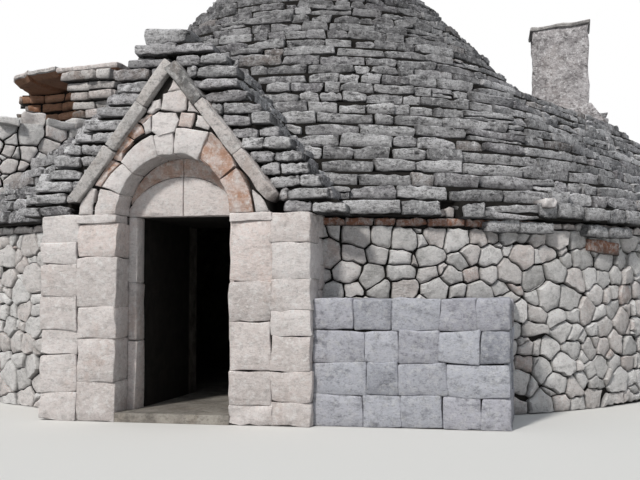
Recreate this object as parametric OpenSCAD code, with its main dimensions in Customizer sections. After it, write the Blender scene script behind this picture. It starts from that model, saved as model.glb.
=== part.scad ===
// A round dry-stone trullo house with a gabled porch, a hearth alcove under a
// chimney and a half fallen side room. The porch faces -Y and the axis of the
// main roof is the Z axis. Sizes are in millimetres.

/* [Main walls] */
// Outer radius of the main wall
wall_r = 4450; // [4200:10:4550]
// Thickness of the main wall
wall_t = 1400; // [1100:10:1600]
// Outer radius of the wall round the hearth alcove
alcove_wall_r = 2550; // [2300:10:2650]
// Distance of the alcove centre to the right of the main axis
alcove_x = 3240; // [2950:10:3400]
// Distance of the alcove centre behind the main axis
alcove_y = 2340; // [2000:10:2600]
// Thickness of the paved floor
floor_t = 80; // [50:5:120]

/* [Main roof] */
// How far the roof edge stands out past the walls
eave_over = 150; // [120:10:160]
// Height of the roof edge, which is also the soffit of the doorway
eave_z = 1820; // [1700:10:2000]
// Rise of the main roof above its edge
roof_rise = 3890; // [3600:10:4200]
// Rise of the alcove roof above the same edge
alcove_rise = 1900; // [1850:10:2000]
// Number of stone courses in the main roof
roof_courses = 31; // [29:1:34]
// How much taller the lowest course is than the mean
course_taper = 0.17; // [0:0.01:0.3]
// Swelling of the main roof beyond a straight cone
roof_swell = 0.4; // [0.3:0.01:0.5]
// Swelling of the alcove roof beyond a straight cone
alcove_swell = 0.7; // [0.5:0.01:0.8]
// Rise of the corbelled vault over the main room
vault_rise = 3400; // [3000:10:3500]
// Rise of the corbelled vault over the alcove
alcove_vault_rise = 1600; // [1400:10:1650]
// Radius of the cap stone
cap_r = 340; // [250:5:400]
// Thickness of the cap stone
cap_t = 90; // [60:5:120]
// Width of the gap where one stone of the roof edge is missing
missing_w = 200; // [150:10:300]
// Direction of the missing edge stone, from the main axis
missing_angle = -63; // [-66:1:-58]

/* [Porch] */
// Distance of the porch centre from the main axis, negative to the left
porch_x = -280; // [-400:10:0]
// How far the porch face stands in front of the main wall
porch_projection = 450; // [440:10:600]
// Width of the porch walls
porch_w = 2480; // [2300:10:2600]
// Width of the arched niche
niche_w = 1050; // [950:10:1150]
// Depth of the arched niche
niche_d = 280; // [220:10:280]
// Width of the doorway
door_w = 880; // [800:10:920]
// Bearing of the doorway slabs on each side
door_slab_seat = 250; // [200:10:300]
// Number of slabs over the passage
door_slabs = 5; // [3:1:7]
// Height of the impost stones
impost_h = 75; // [50:5:100]
// Length of the impost stones along the front
impost_w = 380; // [300:10:450]
// How far the impost stones stand proud of the wall
impost_proud = 20; // [0:5:40]
// Depth of the arch stones along their radius
voussoir_h = 220; // [160:10:225]
// Thickness of the recessed slabs under the arch
tympanum_t = 120; // [80:5:150]
// Height of the recessed slabs above the doorway
tympanum_h = 355; // [300:5:420]
// Half the width between the feet of the gable's edge stones
gable_hw = 870; // [840:10:950]
// Height of the foot of the gable's edge stones above the roof edge
gable_foot = 100; // [60:5:140]
// Height of the gable's point above the roof edge
gable_rise = 1240; // [1150:10:1300]
// How far the gable's point leans to the left of the porch centre
gable_lean = 20; // [0:5:60]
// Thickness of the gable's edge stones
rake_t = 105; // [80:5:130]
// Number of edge stones on each side of the gable
rake_stones = 3; // [2:1:5]
// How far the edge stones stand proud of the gable
rake_proud = 80; // [40:5:120]
// Half the width of the porch roof at its foot
porch_roof_hw = 1450; // [1380:10:1500]
// Half the width of the porch roof at its ridge
porch_ridge_hw = 140; // [100:5:180]
// How far the front of the porch roof lies behind the gable
porch_roof_setback = 100; // [60:5:150]
// Number of courses in the porch roof
porch_courses = 14; // [13:1:15]
// Height of each course in the porch roof
porch_course_h = 110; // [105:5:120]
// Width of the ridge stones
ridge_w = 380; // [300:10:450]
// Length of the ridge stones
ridge_l = 360; // [300:10:450]
// Thickness of the ridge stones
ridge_h = 120; // [90:5:140]
// How far the ridge stones stand out over the front
ridge_over = 40; // [20:5:60]
// How far the ridge stones lie to the left of the porch's middle
ridge_shift = 100; // [0:10:150]

/* [Chimney] */
// Width of the chimney
chimney_w = 815; // [750:5:900]
// Depth of the chimney
chimney_d = 600; // [500:10:700]
// Thickness of the chimney's walls
chimney_t = 150; // [110:5:180]
// Height of the chimney's top on its left side
chimney_z = 5070; // [4850:10:5200]
// How much higher the chimney's top is on its right side
chimney_tilt = 75; // [0:5:120]
// Height of the smoke slots under the cap
slot_h = 110; // [70:5:150]
// Width of each pier that carries the cap beside a slot
slot_pier = 150; // [120:5:180]
// Thickness of the chimney's cap slab
chimney_cap_t = 50; // [35:5:70]
// Overhang of the chimney's cap slab
chimney_cap_over = 35; // [20:5:60]
// Spread of the plaster skirt at the chimney's foot
skirt_spread = 230; // [150:10:300]
// Height of the plaster skirt
skirt_h = 330; // [250:10:400]

/* [Side room] */
// Distance from the main axis to the nearest point of the side room's ring
annex_near = 2300; // [2200:10:2450]
// Distance of the side room's centre in front of the main axis
annex_y = 1130; // [900:10:1300]
// Outer radius of the side room
annex_r = 1800; // [1700:10:1900]
// Thickness of the side room's wall
annex_t = 450; // [400:10:600]
// Height of the side room's wall above the main roof's edge
annex_wall_rise = 1290; // [1150:10:1400]
// Rise of the side room's vault above its wall
annex_vault_rise = 870; // [780:10:950]
// How far the vault's standing courses step in over the room
annex_corbel = 300; // [200:10:400]
// How far each course of the vault steps in on the outside
annex_batter = 15; // [10:5:30]
// Direction in which the standing part of the vault begins
annex_from = -6; // [-12:1:0]
// Direction in which the standing part of the vault ends
annex_to = 100; // [90:1:110]
// How far every second course of the broken vault runs on
annex_tooth = 4; // [2:1:6]
// Overhang of the flat roof slabs past the vault
annex_slab_over = 120; // [60:5:150]
// Thickness of the flat roof slabs
annex_slab_t = 90; // [80:5:140]

/* [Terrace] */
// Length of the terrace beside the porch
terrace_l = 1650; // [1400:10:1900]
// Height of the terrace
terrace_h = 1080; // [900:10:1200]
// Thickness of the terrace's retaining wall
terrace_t = 340; // [250:10:420]
// How far the terrace's front lies behind the porch's face
terrace_setback = 100; // [60:10:150]
// How far the filling lies below the top of the terrace's wall
terrace_lip = 40; // [20:5:80]

/* [Hidden] */
$fn = 64;

// Sides of each outline round the house
outline_sides = 60;
// Sides of each outline round the side room
annex_sides = 32;
// Gap left between neighbouring cut stones
joint = 6;
// A length past every outline of the house
far = 12000;
// Power of the curve by which a corbelled vault closes
vault_power = 1.3;
// Radius of the alcove's roof where the chimney stands on it
chimney_seat_r = 700;
// Half width of the saddle that climbs from the alcove's roof to the main roof
saddle_r = 300;
// Run of the saddle for each unit that it climbs
saddle_run = 1.6;
// Share of the way to the alcove at which the saddle's foot lies
saddle_start = 0.79;
// Thickness of the plaster round the top of the chimney's skirt
skirt_t = 30;
// Thickness of the skirt's edges
skirt_lip = 10;
// How far the passage slabs reach over the room's curved edge
lintel_reach = 60;
// How far the recessed slabs stop short of the niche's sides
tympanum_inset = 25;
// Height of the recessed slabs at their sides
tympanum_side_z = 110;
// Directions of the joints between the arch stones
voussoir_joints = [36, 69, 92, 108, 135, 160];

eave_r = wall_r + eave_over;
alcove_eave_r = alcove_wall_r + eave_over;
room_r = wall_r - wall_t;
alcove_room_r = alcove_wall_r - wall_t;
alcove_angle = atan2(alcove_y, alcove_x);
lower_top = round(roof_courses * 0.29);
middle_top = round(roof_courses * 0.58);

porch_y = wall_r + porch_projection;
niche_r = niche_w / 2;
niche_y = -porch_y + niche_d;
passage_hw = door_w / 2 + door_slab_seat;
pier_hw = porch_w / 2;
gable_foot_z = eave_z + gable_foot;
gable_top_z = eave_z + gable_rise;
porch_roof_y = -porch_y + porch_roof_setback;
porch_ridge_z = eave_z + porch_courses * porch_course_h;
ridge_x = porch_x - ridge_shift;
tympanum_chord = niche_r - tympanum_inset;
tympanum_sag = tympanum_h - tympanum_side_z;
tympanum_r = (pow(tympanum_chord, 2) + pow(tympanum_sag, 2)) / (2 * tympanum_sag);

annex_x = annex_near + annex_r;
annex_room_r = annex_r - annex_t;
annex_top_r = annex_room_r - annex_corbel;
annex_wall_z = eave_z + annex_wall_rise;
annex_courses = 7;
annex_course_h = round(annex_vault_rise / annex_courses);
annex_top_z = annex_wall_z + annex_courses * annex_course_h;
annex_slab_r = annex_r - annex_courses * annex_batter + annex_slab_over;
// Free edge of the flat slabs over the open vault, as shares of their radius
annex_slab_edge = annex_slab_r * [[-0.03, 0.21], [0.19, 0.03], [0.47, -0.08], [0.68, -0.09]];

terrace_x0 = porch_x + pier_hw;
terrace_y0 = -porch_y + terrace_setback;

// Directions in which the walls and roof rings are parted
front_cut = -125;
front_right_cut = -55;
right_cut = alcove_angle - 50;
back_right_cut = alcove_angle + 50;
back_wall_cut = 122;
back_cut = 160;
left_wall_cut = 212;

// Height of the underside of a roof course
function level(k) =
    let (t = k / roof_courses)
    round(eave_z + roof_rise * (t + course_taper * t * (1 - t)));

function course_h(k) = level(k + 1) - level(k);

// Radius of a swelling cone at a share u of its rise
function cone_r(base_r, swell, u) =
    u >= 1 ? 0 : base_r * ((1 - u) + swell * pow(u, 3) * sqrt(1 - u));

function roof_r(z) = cone_r(eave_r, roof_swell, (z - eave_z) / roof_rise);
function alcove_roof_r(z) = cone_r(alcove_eave_r, alcove_swell, (z - eave_z) / alcove_rise);

// Radius of a corbelled vault at a share u of its rise
function vault_r(base_r, u) = u >= 1 ? 0 : base_r * (1 - pow(u, vault_power));
function room_vault_r(z) = vault_r(room_r, (z - eave_z) / vault_rise);
function alcove_vault_r(z) = vault_r(alcove_room_r, (z - eave_z) / alcove_vault_rise);

// Outline that wraps a circle on the main axis and one on the way to the alcove
function wrap(main_r, side_r, way = 1) = [
    for (i = [0 : outline_sides - 1])
        let (
            a = 360 * i / outline_sides,
            x = alcove_x * way,
            y = alcove_y * way,
            on_main = side_r <= 0 || main_r >= x * cos(a) + y * sin(a) + side_r
        )
        on_main
            ? [main_r * cos(a), main_r * sin(a)]
            : [x + side_r * cos(a), y + side_r * sin(a)]
];

// Share of the way to the alcove that the saddle reaches at a height
function saddle_way(z) =
    z < chimney_seat_z
        ? 1
        : max(0, saddle_start - (z - chimney_seat_z) * saddle_run / norm([alcove_x, alcove_y]));

function roof_outline(k) =
    let (z = level(k))
    wrap(roof_r(z), max(alcove_roof_r(z), saddle_r), saddle_way(z));
function vault_outline(k) = wrap(room_vault_r(level(k)), alcove_vault_r(level(k)));

// Sector of the plan between two directions
module sector(a0, a1) {
    steps = 4;
    polygon(concat([[0, 0]], [
        for (i = [0 : steps])
            let (a = a0 + (a1 - a0) * i / steps)
            [far * cos(a), far * sin(a)]
    ]));
}

// Part of the main wall between two directions, without the doorway
module wall_part(a0, a1) {
    linear_extrude(eave_z)
        intersection() {
            difference() {
                polygon(wrap(wall_r, alcove_wall_r));
                polygon(wrap(room_r, alcove_room_r));
                translate([porch_x - door_w / 2, -far])
                    square([door_w, far]);
            }
            sector(a0, a1);
        }
}

// Plan of one roof course between two directions
module course_plan(k, a0, a1) {
    intersection() {
        difference() {
            polygon(roof_outline(k));
            if (room_vault_r(level(k)) > 0)
                polygon(vault_outline(k));
            if (k == 0)
                translate([porch_x - passage_hw, -far])
                    square([2 * passage_hw, far - room_r / 2]);
            if (k == 0)
                rotate(missing_angle)
                    translate([eave_r - missing_w, -missing_w / 2])
                        square([far, missing_w]);
            if (alcove_roof_r(level(k)) > 0 && alcove_vault_r(level(k)) < chimney_w / 2)
                translate([alcove_x, alcove_y])
                    square([flue_w, flue_d], center = true);
            if (level(k) >= chimney_seat_z - 1)
                translate([alcove_x - chimney_w / 2, alcove_y - chimney_d / 2])
                    square(far);
        }
        sector(a0, a1);
    }
}

// Roof courses from k0 to k1 between two directions
module courses(k0, k1, a0, a1) {
    for (k = [k0 : k1])
        translate([0, 0, level(k)])
            linear_extrude(course_h(k))
                course_plan(k, a0, a1);
}

flue_w = chimney_w - 2 * chimney_t;
flue_d = chimney_d - 2 * chimney_t;
// The chimney stands on the last course that is wider than it
chimney_seat = len([for (k = [0 : roof_courses - 1]) if (alcove_roof_r(level(k)) > chimney_seat_r) k]);
chimney_seat_z = level(chimney_seat);

module floor_slab() {
    color("darkgray")
        linear_extrude(floor_t)
            union() {
                polygon(wrap(room_r, alcove_room_r));
                difference() {
                    translate([porch_x - door_w / 2, niche_y])
                        square([door_w, -niche_y]);
                    circle(r = room_r / 2);
                }
            }
}

module threshold_stone() {
    color("lightgray")
        translate([porch_x - niche_r, -porch_y, 0])
            cube([niche_w, niche_d, floor_t]);
}

module wall_front_right() { color("linen") wall_part(-90, right_cut); }
module wall_right() { color("linen") wall_part(right_cut, back_right_cut); }
module wall_back_right() { color("linen") wall_part(back_right_cut, back_wall_cut); }
module wall_back() { color("linen") wall_part(back_wall_cut, back_cut); }
module wall_left() { color("linen") wall_part(back_cut, left_wall_cut); }
module wall_front_left() { color("linen") wall_part(left_wall_cut, 270); }

// Slabs that span the doorway and carry the roof over it
module passage_lintels() {
    y0 = niche_y + tympanum_t;
    run = (-y0 - room_r + lintel_reach) / door_slabs;
    color("darkgray")
        translate([0, 0, eave_z])
            linear_extrude(course_h(0))
                difference() {
                    for (i = [0 : door_slabs - 1])
                        translate([porch_x - passage_hw, y0 + i * run])
                            square([2 * passage_hw, run - (i < door_slabs - 1 ? joint : 0)]);
                    polygon(wrap(room_r, alcove_room_r));
                }
}

module eave_front() { color("darkgray") courses(0, 0, front_cut, front_right_cut); }
module eave_right() { color("darkgray") courses(0, 0, front_right_cut, back_right_cut); }
module eave_back() { color("darkgray") courses(0, 0, back_right_cut, back_cut); }
module eave_left() { color("darkgray") courses(0, 0, back_cut, 360 + front_cut); }

module roof_lower_front() { color("gray") courses(1, lower_top, front_cut, front_right_cut); }
module roof_lower_right() { color("gray") courses(1, lower_top, front_right_cut, back_right_cut); }
module roof_lower_back() { color("gray") courses(1, lower_top, back_right_cut, back_cut); }
module roof_lower_left() { color("gray") courses(1, lower_top, back_cut, 360 + front_cut); }

module roof_middle_front() {
    color("gray") courses(lower_top + 1, middle_top, front_cut, front_right_cut);
}
module roof_middle_right() {
    color("gray") courses(lower_top + 1, middle_top, front_right_cut, back_right_cut);
}
module roof_middle_back() {
    color("gray") courses(lower_top + 1, middle_top, back_right_cut, back_cut);
}
module roof_middle_left() {
    color("gray") courses(lower_top + 1, middle_top, back_cut, 360 + front_cut);
}

module roof_upper_front() { color("gray") courses(middle_top + 1, roof_courses - 1, -180, 0); }
module roof_upper_back() { color("gray") courses(middle_top + 1, roof_courses - 1, 0, 180); }

module cap_stone() {
    color("lightgray")
        translate([0, 0, level(roof_courses)])
            cylinder(r = cap_r, h = cap_t);
}

// One side wall and pier of the porch, side is -1 for the left
module pier(side) {
    x0 = side > 0 ? porch_x + niche_r : porch_x - pier_hw;
    difference() {
        linear_extrude(eave_z)
            difference() {
                translate([x0, -porch_y])
                    square([pier_hw - niche_r, porch_y / 2]);
                polygon(wrap(wall_r, alcove_wall_r));
            }
        translate([porch_x + side * niche_r - (side > 0 ? 0 : impost_w), -porch_y - 1, eave_z - impost_h])
            cube([impost_w, niche_d + 1, impost_h + 1]);
    }
}

module porch_left_pier() { color("mistyrose") pier(-1); }
module porch_right_pier() { color("mistyrose") pier(1); }

// Stones that narrow the niche to the doorway behind it
module door_jambs() {
    jamb_w = niche_r - door_w / 2;
    color("mistyrose")
        linear_extrude(eave_z)
            difference() {
                for (side = [-1, 1])
                    translate([porch_x + side * (niche_r - jamb_w / 2) - jamb_w / 2, niche_y])
                        square([jamb_w, porch_y / 4]);
                polygon(wrap(wall_r, alcove_wall_r));
            }
}

module impost_stones() {
    color("pink")
        for (side = [-1, 1])
            translate([
                porch_x + side * niche_r - (side > 0 ? 0 : impost_w),
                -porch_y - impost_proud,
                eave_z - impost_h
            ])
                cube([impost_w, niche_d + impost_proud, impost_h]);
}

// Lay a front outline up, from the porch centre at the roof edge's height
module upright(y0, depth) {
    translate([porch_x, y0 + depth, eave_z])
        rotate([90, 0, 0])
            linear_extrude(depth)
                children();
}

module half_disc(r) {
    intersection() {
        circle(r = r);
        translate([-r - 1, 0])
            square([2 * r + 2, r + 1]);
    }
}

module arch_voussoirs() {
    color("mistyrose")
        upright(-porch_y, niche_d)
            difference() {
                half_disc(niche_r + voussoir_h);
                circle(r = niche_r);
                for (a = voussoir_joints)
                    rotate(a)
                        translate([0, -joint / 2])
                            square([far, joint]);
            }
}

module tympanum_face() {
    intersection() {
        half_disc(niche_r);
        translate([0, tympanum_h - tympanum_r])
            circle(r = tympanum_r);
    }
}

module tympanum_slabs() {
    color("mistyrose")
        upright(niche_y, tympanum_t)
            difference() {
                tympanum_face();
                translate([0, -1])
                    square([joint, niche_w]);
            }
}

module tympanum_band() {
    color("rosybrown")
        upright(niche_y, tympanum_t)
            difference() {
                half_disc(niche_r);
                translate([0, tympanum_h - tympanum_r])
                    circle(r = tympanum_r);
            }
}

gable_z0 = gable_foot_z - eave_z;
gable_z1 = gable_top_z - eave_z;

function gable_foot_pt(side) = [side * gable_hw, gable_z0];
gable_point = [-gable_lean, gable_z1];

// Point at a share s along the outer edge of the gable's edge stones
function rake_len(side) = norm(gable_point - gable_foot_pt(side));
function rake_outer(side, s) =
    let (
        run = abs(gable_point[0] - gable_foot_pt(side)[0]),
        low = gable_foot_pt(side) + [side * rake_t * rake_len(side) / (gable_z1 - gable_z0), 0],
        high = gable_point + [0, rake_t * rake_len(side) / run]
    )
    low + s * (high - low);
function rake_inner(side, s) = gable_foot_pt(side) + s * (gable_point - gable_foot_pt(side));

// Distance of the edge stones' outer edge from the porch centre at a height
function rake_reach(side, z) =
    let (
        low = rake_outer(side, 0),
        high = rake_outer(side, 1),
        s = max(0, min(1, (z - low[1]) / (high[1] - low[1])))
    )
    low[0] + s * (high[0] - low[0]);

module gable_wall() {
    color("mistyrose")
        upright(-porch_y, niche_d)
            difference() {
                polygon([
                    [-gable_hw, 0], [gable_hw, 0], gable_foot_pt(1),
                    gable_point, gable_foot_pt(-1)
                ]);
                circle(r = niche_r + voussoir_h);
            }
}

module rake(side) {
    gap = joint / rake_len(side) / 2;
    upright(-porch_y - rake_proud, niche_d + rake_proud)
        for (i = [0 : rake_stones - 1])
            let (
                s0 = i / rake_stones + (i > 0 ? gap : 0),
                s1 = (i + 1) / rake_stones - (i < rake_stones - 1 ? gap : 0)
            )
            polygon([
                rake_inner(side, s0), rake_outer(side, s0),
                rake_outer(side, s1), rake_inner(side, s1)
            ]);
}

module left_rake_stones() { color("lightgray") rake(-1); }
module right_rake_stones() { color("lightgray") rake(1); }

// Height of the underside of a course of the porch roof
function porch_level(k) = eave_z + k * porch_course_h;

// Half width of the porch roof at one of its courses
function porch_roof_reach(k) =
    porch_ridge_hw + (porch_roof_hw - porch_ridge_hw) * (porch_courses - k) / porch_courses;

// Plan of one half of a course of the porch roof, up to the main roof
module porch_course_plan(k, side, house) {
    reach = porch_roof_reach(k);
    inner = abs(rake_reach(side, porch_level(k) - eave_z));
    difference() {
        translate([porch_x - (side > 0 ? 0 : reach), porch_roof_y])
            square([reach, porch_y]);
        polygon(house);
        if (porch_level(k) - eave_z < rake_outer(side, 1)[1])
            translate([porch_x - (side > 0 ? 1 : inner), -porch_y - 1])
                square([inner + 1, niche_d + 1]);
    }
}

module porch_roof(side) {
    difference() {
        for (k = [0 : porch_courses - 1])
            for (j = [0 : roof_courses - 1])
                let (
                    z0 = max(porch_level(k), level(j)),
                    z1 = min(porch_level(k + 1), level(j + 1))
                )
                if (z1 > z0)
                    translate([0, 0, z0])
                        linear_extrude(z1 - z0)
                            porch_course_plan(k, side, roof_outline(j));
        translate([porch_x - passage_hw, niche_y - 1, eave_z - 1])
            cube([2 * passage_hw, far, course_h(0) + 1]);
        upright(niche_y - 1, tympanum_t + 1)
            half_disc(niche_r);
    }
}

module porch_roof_left() { color("gray") porch_roof(-1); }
module porch_roof_right() { color("gray") porch_roof(1); }

// Flat stones along the ridge of the porch roof, back to the main roof
module porch_ridge_stones() {
    house = house_outline_at(porch_ridge_z);
    run = -porch_roof_y + ridge_over - roof_r(porch_ridge_z);
    color("gray")
        translate([0, 0, porch_ridge_z])
            linear_extrude(ridge_h)
                difference() {
                    for (i = [0 : ceil(run / ridge_l) - 1])
                        translate([ridge_x - ridge_w / 2, porch_roof_y - ridge_over + i * ridge_l])
                            square([ridge_w, ridge_l - joint]);
                    polygon(house);
                }
}

// Front outline of the chimney between two heights at its left side
module chimney_band(z0, z1, over) {
    slope = chimney_tilt / chimney_w;
    hw = chimney_w / 2 + over;
    polygon([
        [-hw, z0 - over * slope], [hw, z0 + (chimney_w + over) * slope],
        [hw, z1 + (chimney_w + over) * slope], [-hw, z1 - over * slope]
    ]);
}

module chimney_upright(depth) {
    translate([alcove_x, alcove_y + depth / 2, 0])
        rotate([90, 0, 0])
            linear_extrude(depth)
                children();
}

module chimney_shaft() {
    color("tan")
        difference() {
            chimney_upright(chimney_d)
                polygon([
                    [-chimney_w / 2, chimney_seat_z], [chimney_w / 2, chimney_seat_z],
                    [chimney_w / 2, chimney_z + chimney_tilt], [-chimney_w / 2, chimney_z]
                ]);
            translate([alcove_x - flue_w / 2, alcove_y - flue_d / 2, chimney_seat_z - 1])
                cube([flue_w, flue_d, far]);
            chimney_upright(chimney_d - 2 * slot_pier)
                chimney_band(chimney_z - slot_h, chimney_z + slot_h, 1);
        }
}

module chimney_cap() {
    color("lightgray")
        chimney_upright(chimney_d + 2 * chimney_cap_over)
            chimney_band(chimney_z, chimney_z + chimney_cap_t, chimney_cap_over);
}

// Plaster that spreads from the chimney onto the stepped roof
module chimney_skirt() {
    skirt_z = chimney_seat_z + skirt_h;
    color("tan")
        difference() {
            intersection() {
                translate([alcove_x, alcove_y, 0])
                    hull() {
                        translate([0, 0, skirt_z])
                            linear_extrude(skirt_lip)
                                square([chimney_w + 2 * skirt_t, chimney_d + 2 * skirt_t], center = true);
                        translate([0, 0, chimney_seat_z])
                            linear_extrude(skirt_lip)
                                square([
                                    chimney_w + 2 * skirt_spread,
                                    chimney_d + 2 * skirt_spread
                                ], center = true);
                    }
                linear_extrude(far)
                    polygon(roof_outline(chimney_seat - 1));
            }
            translate([alcove_x - chimney_w / 2, alcove_y - chimney_d / 2, 0])
                cube([chimney_w, chimney_d, far]);
            for (k = [chimney_seat : roof_courses - 1])
                if (level(k) < skirt_z + skirt_lip)
                    translate([0, 0, level(k) - (k == chimney_seat ? 1 : 0)])
                        linear_extrude(course_h(k) + (k == chimney_seat ? 1 : 0))
                            difference() {
                                polygon(roof_outline(k));
                                translate([alcove_x - chimney_w / 2, alcove_y - chimney_d / 2])
                                    square(far);
                            }
        }
}

// Round outline about the side room's centre
function annex_outline(r) = [
    for (i = [0 : annex_sides - 1])
        let (a = 360 * (i + 0.5) / annex_sides)
        [-annex_x + r * cos(a), -annex_y + r * sin(a)]
];

// Ring of the side room, open to the main house where they meet
module annex_ring(outer_r, inner_r, house) {
    difference() {
        polygon(annex_outline(outer_r));
        polygon(annex_outline(inner_r));
        polygon(house);
    }
}

// Sector round the side room's centre between two directions
module annex_sector(a0, a1) {
    translate([-annex_x, -annex_y])
        sector(a0, a1);
}

// Last roof course whose underside lies below the side room's wall top
annex_wall_course = len([for (k = [0 : roof_courses - 1]) if (level(k) < annex_wall_z) k]) - 1;

module annex_wall() {
    color("linen")
        union() {
            linear_extrude(eave_z)
                annex_ring(annex_r, annex_room_r, wrap(wall_r, alcove_wall_r));
            for (k = [0 : annex_wall_course])
                translate([0, 0, level(k)])
                    linear_extrude(min(level(k + 1), annex_wall_z) - level(k))
                        annex_ring(annex_r, annex_room_r, roof_outline(k));
        }
}

// The part of the corbelled vault that still stands, with toothed ends
module annex_vault() {
    color("peru")
        for (i = [0 : annex_courses - 1])
            let (
                z = annex_wall_z + i * annex_course_h,
                tooth = i % 2 == 0 ? annex_tooth : 0,
                inner = annex_room_r - (annex_room_r - annex_top_r) * (i + 1) / annex_courses
            )
            translate([0, 0, z])
                linear_extrude(annex_course_h)
                    intersection() {
                        annex_ring(annex_r - i * annex_batter, inner, house_outline_at(z));
                        annex_sector(annex_from - tooth, annex_to + tooth);
                    }
}

// Widest outline of the main roof at or above a height
function house_outline_at(z) =
    roof_outline(max(0, len([for (k = [0 : roof_courses - 1]) if (level(k) <= z) k]) - 1));

// Flat slabs on the standing vault, which reach out over the open room
module annex_roof_slabs() {
    a0 = annex_from - annex_tooth;
    a1 = annex_to + annex_tooth;
    parts = 10;
    rim = [
        for (i = [0 : parts])
            let (a = a0 + (a1 - a0) * i / parts)
            annex_slab_r * [cos(a), sin(a)]
    ];
    color("gray")
        translate([0, 0, annex_top_z])
            linear_extrude(annex_slab_t)
                difference() {
                    translate([-annex_x, -annex_y])
                        polygon(concat(rim, annex_slab_edge));
                    polygon(house_outline_at(annex_top_z));
                }
}

module terrace_outline() {
    difference() {
        translate([terrace_x0, terrace_y0])
            square([terrace_l, porch_y]);
        polygon(wrap(wall_r, alcove_wall_r));
        translate([terrace_x0, -wall_r / 2])
            square([far, far]);
    }
}

module terrace_core() {
    translate([terrace_x0, terrace_y0 + terrace_t])
        square([terrace_l - terrace_t, far]);
}

module terrace_wall() {
    color("lightsteelblue")
        linear_extrude(terrace_h)
            difference() {
                terrace_outline();
                terrace_core();
            }
}

module terrace_fill() {
    color("dimgray")
        linear_extrude(terrace_h - terrace_lip)
            intersection() {
                terrace_outline();
                terrace_core();
            }
}

floor_slab();
threshold_stone();
wall_front_right();
wall_right();
wall_back_right();
wall_back();
wall_left();
wall_front_left();
passage_lintels();
eave_front();
eave_right();
eave_back();
eave_left();
roof_lower_front();
roof_lower_right();
roof_lower_back();
roof_lower_left();
roof_middle_front();
roof_middle_right();
roof_middle_back();
roof_middle_left();
roof_upper_front();
roof_upper_back();
cap_stone();
porch_left_pier();
porch_right_pier();
door_jambs();
impost_stones();
arch_voussoirs();
tympanum_slabs();
tympanum_band();
gable_wall();
left_rake_stones();
right_rake_stones();
porch_roof_left();
porch_roof_right();
porch_ridge_stones();
chimney_shaft();
chimney_cap();
chimney_skirt();
annex_wall();
annex_vault();
annex_roof_slabs();
terrace_wall();
terrace_fill();
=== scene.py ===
import bpy
import math
import numpy as np
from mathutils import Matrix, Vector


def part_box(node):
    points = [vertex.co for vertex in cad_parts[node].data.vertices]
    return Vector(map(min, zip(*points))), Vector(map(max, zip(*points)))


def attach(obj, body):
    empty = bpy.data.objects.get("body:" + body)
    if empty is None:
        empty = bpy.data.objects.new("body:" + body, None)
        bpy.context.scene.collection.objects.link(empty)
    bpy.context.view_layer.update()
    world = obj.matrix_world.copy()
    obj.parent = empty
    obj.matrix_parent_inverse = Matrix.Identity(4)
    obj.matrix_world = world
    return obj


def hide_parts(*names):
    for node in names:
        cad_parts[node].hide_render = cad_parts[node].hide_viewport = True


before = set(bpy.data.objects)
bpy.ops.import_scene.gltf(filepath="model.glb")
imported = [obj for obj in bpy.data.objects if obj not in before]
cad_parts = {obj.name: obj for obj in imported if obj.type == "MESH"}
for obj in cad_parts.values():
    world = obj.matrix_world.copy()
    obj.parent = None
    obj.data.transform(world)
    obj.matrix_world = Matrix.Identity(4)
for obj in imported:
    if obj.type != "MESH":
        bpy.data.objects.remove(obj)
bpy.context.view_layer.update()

# Sizes of the house, in metres, as the construction has them
WALL_R, ALCOVE_WALL_R = 4.45, 2.55
ALCOVE = np.array([3.24, 2.34])
EAVE_R, ALCOVE_EAVE_R = 4.60, 2.70
EAVE_Z, ROOF_RISE, ALCOVE_RISE = 1.82, 3.89, 1.90
ROOF_COURSES, UPPER_COURSES, COURSE_TAPER = 31, 20, 0.17
ROOF_SWELL, ALCOVE_SWELL = 0.40, 0.7
SADDLE_R, SADDLE_RUN, SADDLE_START = 0.30, 1.6, 0.79
MISSING_ANGLE, MISSING_W = math.radians(-63), 0.20
PORCH_X, PORCH_Y = -0.28, -4.90
PIER_HW, NICHE_R, NICHE_D, DOOR_HW = 1.24, 0.525, 0.28, 0.44
IMPOST_W, IMPOST_H, IMPOST_PROUD = 0.38, 0.075, 0.02
VOUSSOIR_H = 0.22
TYMPANUM_T, TYMPANUM_H, TYMPANUM_SIDE = 0.12, 0.355, 0.11
GABLE_HW, GABLE_FOOT, GABLE_RISE, GABLE_LEAN = 0.87, 0.10, 1.24, 0.02
RAKE_T, RAKE_PROUD = 0.105, 0.08
PORCH_ROOF_HW, PORCH_RIDGE_HW, PORCH_ROOF_SETBACK = 1.45, 0.14, 0.10
PORCH_COURSES, PORCH_COURSE_H = 14, 0.11
RIDGE_W, RIDGE_L, RIDGE_H, RIDGE_OVER, RIDGE_SHIFT = 0.38, 0.36, 0.12, 0.04, 0.10
CHIMNEY_W, CHIMNEY_D, CHIMNEY_T = 0.815, 0.60, 0.15
CHIMNEY_Z, CHIMNEY_TILT, SLOT_H, SLOT_PIER = 5.07, 0.075, 0.11, 0.15
CHIMNEY_CAP_T, CHIMNEY_CAP_OVER = 0.05, 0.035
CHIMNEY_SEAT_R = 0.70
ANNEX = np.array([-4.10, -1.13])
ANNEX_R, ANNEX_T, ANNEX_WALL_RISE, ANNEX_COURSE_H = 1.80, 0.45, 1.29, 0.124
ANNEX_COURSES, ANNEX_BATTER, ANNEX_TOP_R = 7, 0.015, 1.05
ANNEX_FROM, ANNEX_TO, ANNEX_TOOTH = math.radians(-6), math.radians(100), math.radians(4)
ANNEX_INNER_R, ANNEX_WALL_Z = ANNEX_R - ANNEX_T, EAVE_Z + ANNEX_WALL_RISE
ANNEX_SLAB_OVER, ANNEX_SLAB_T = 0.12, 0.09
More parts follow.
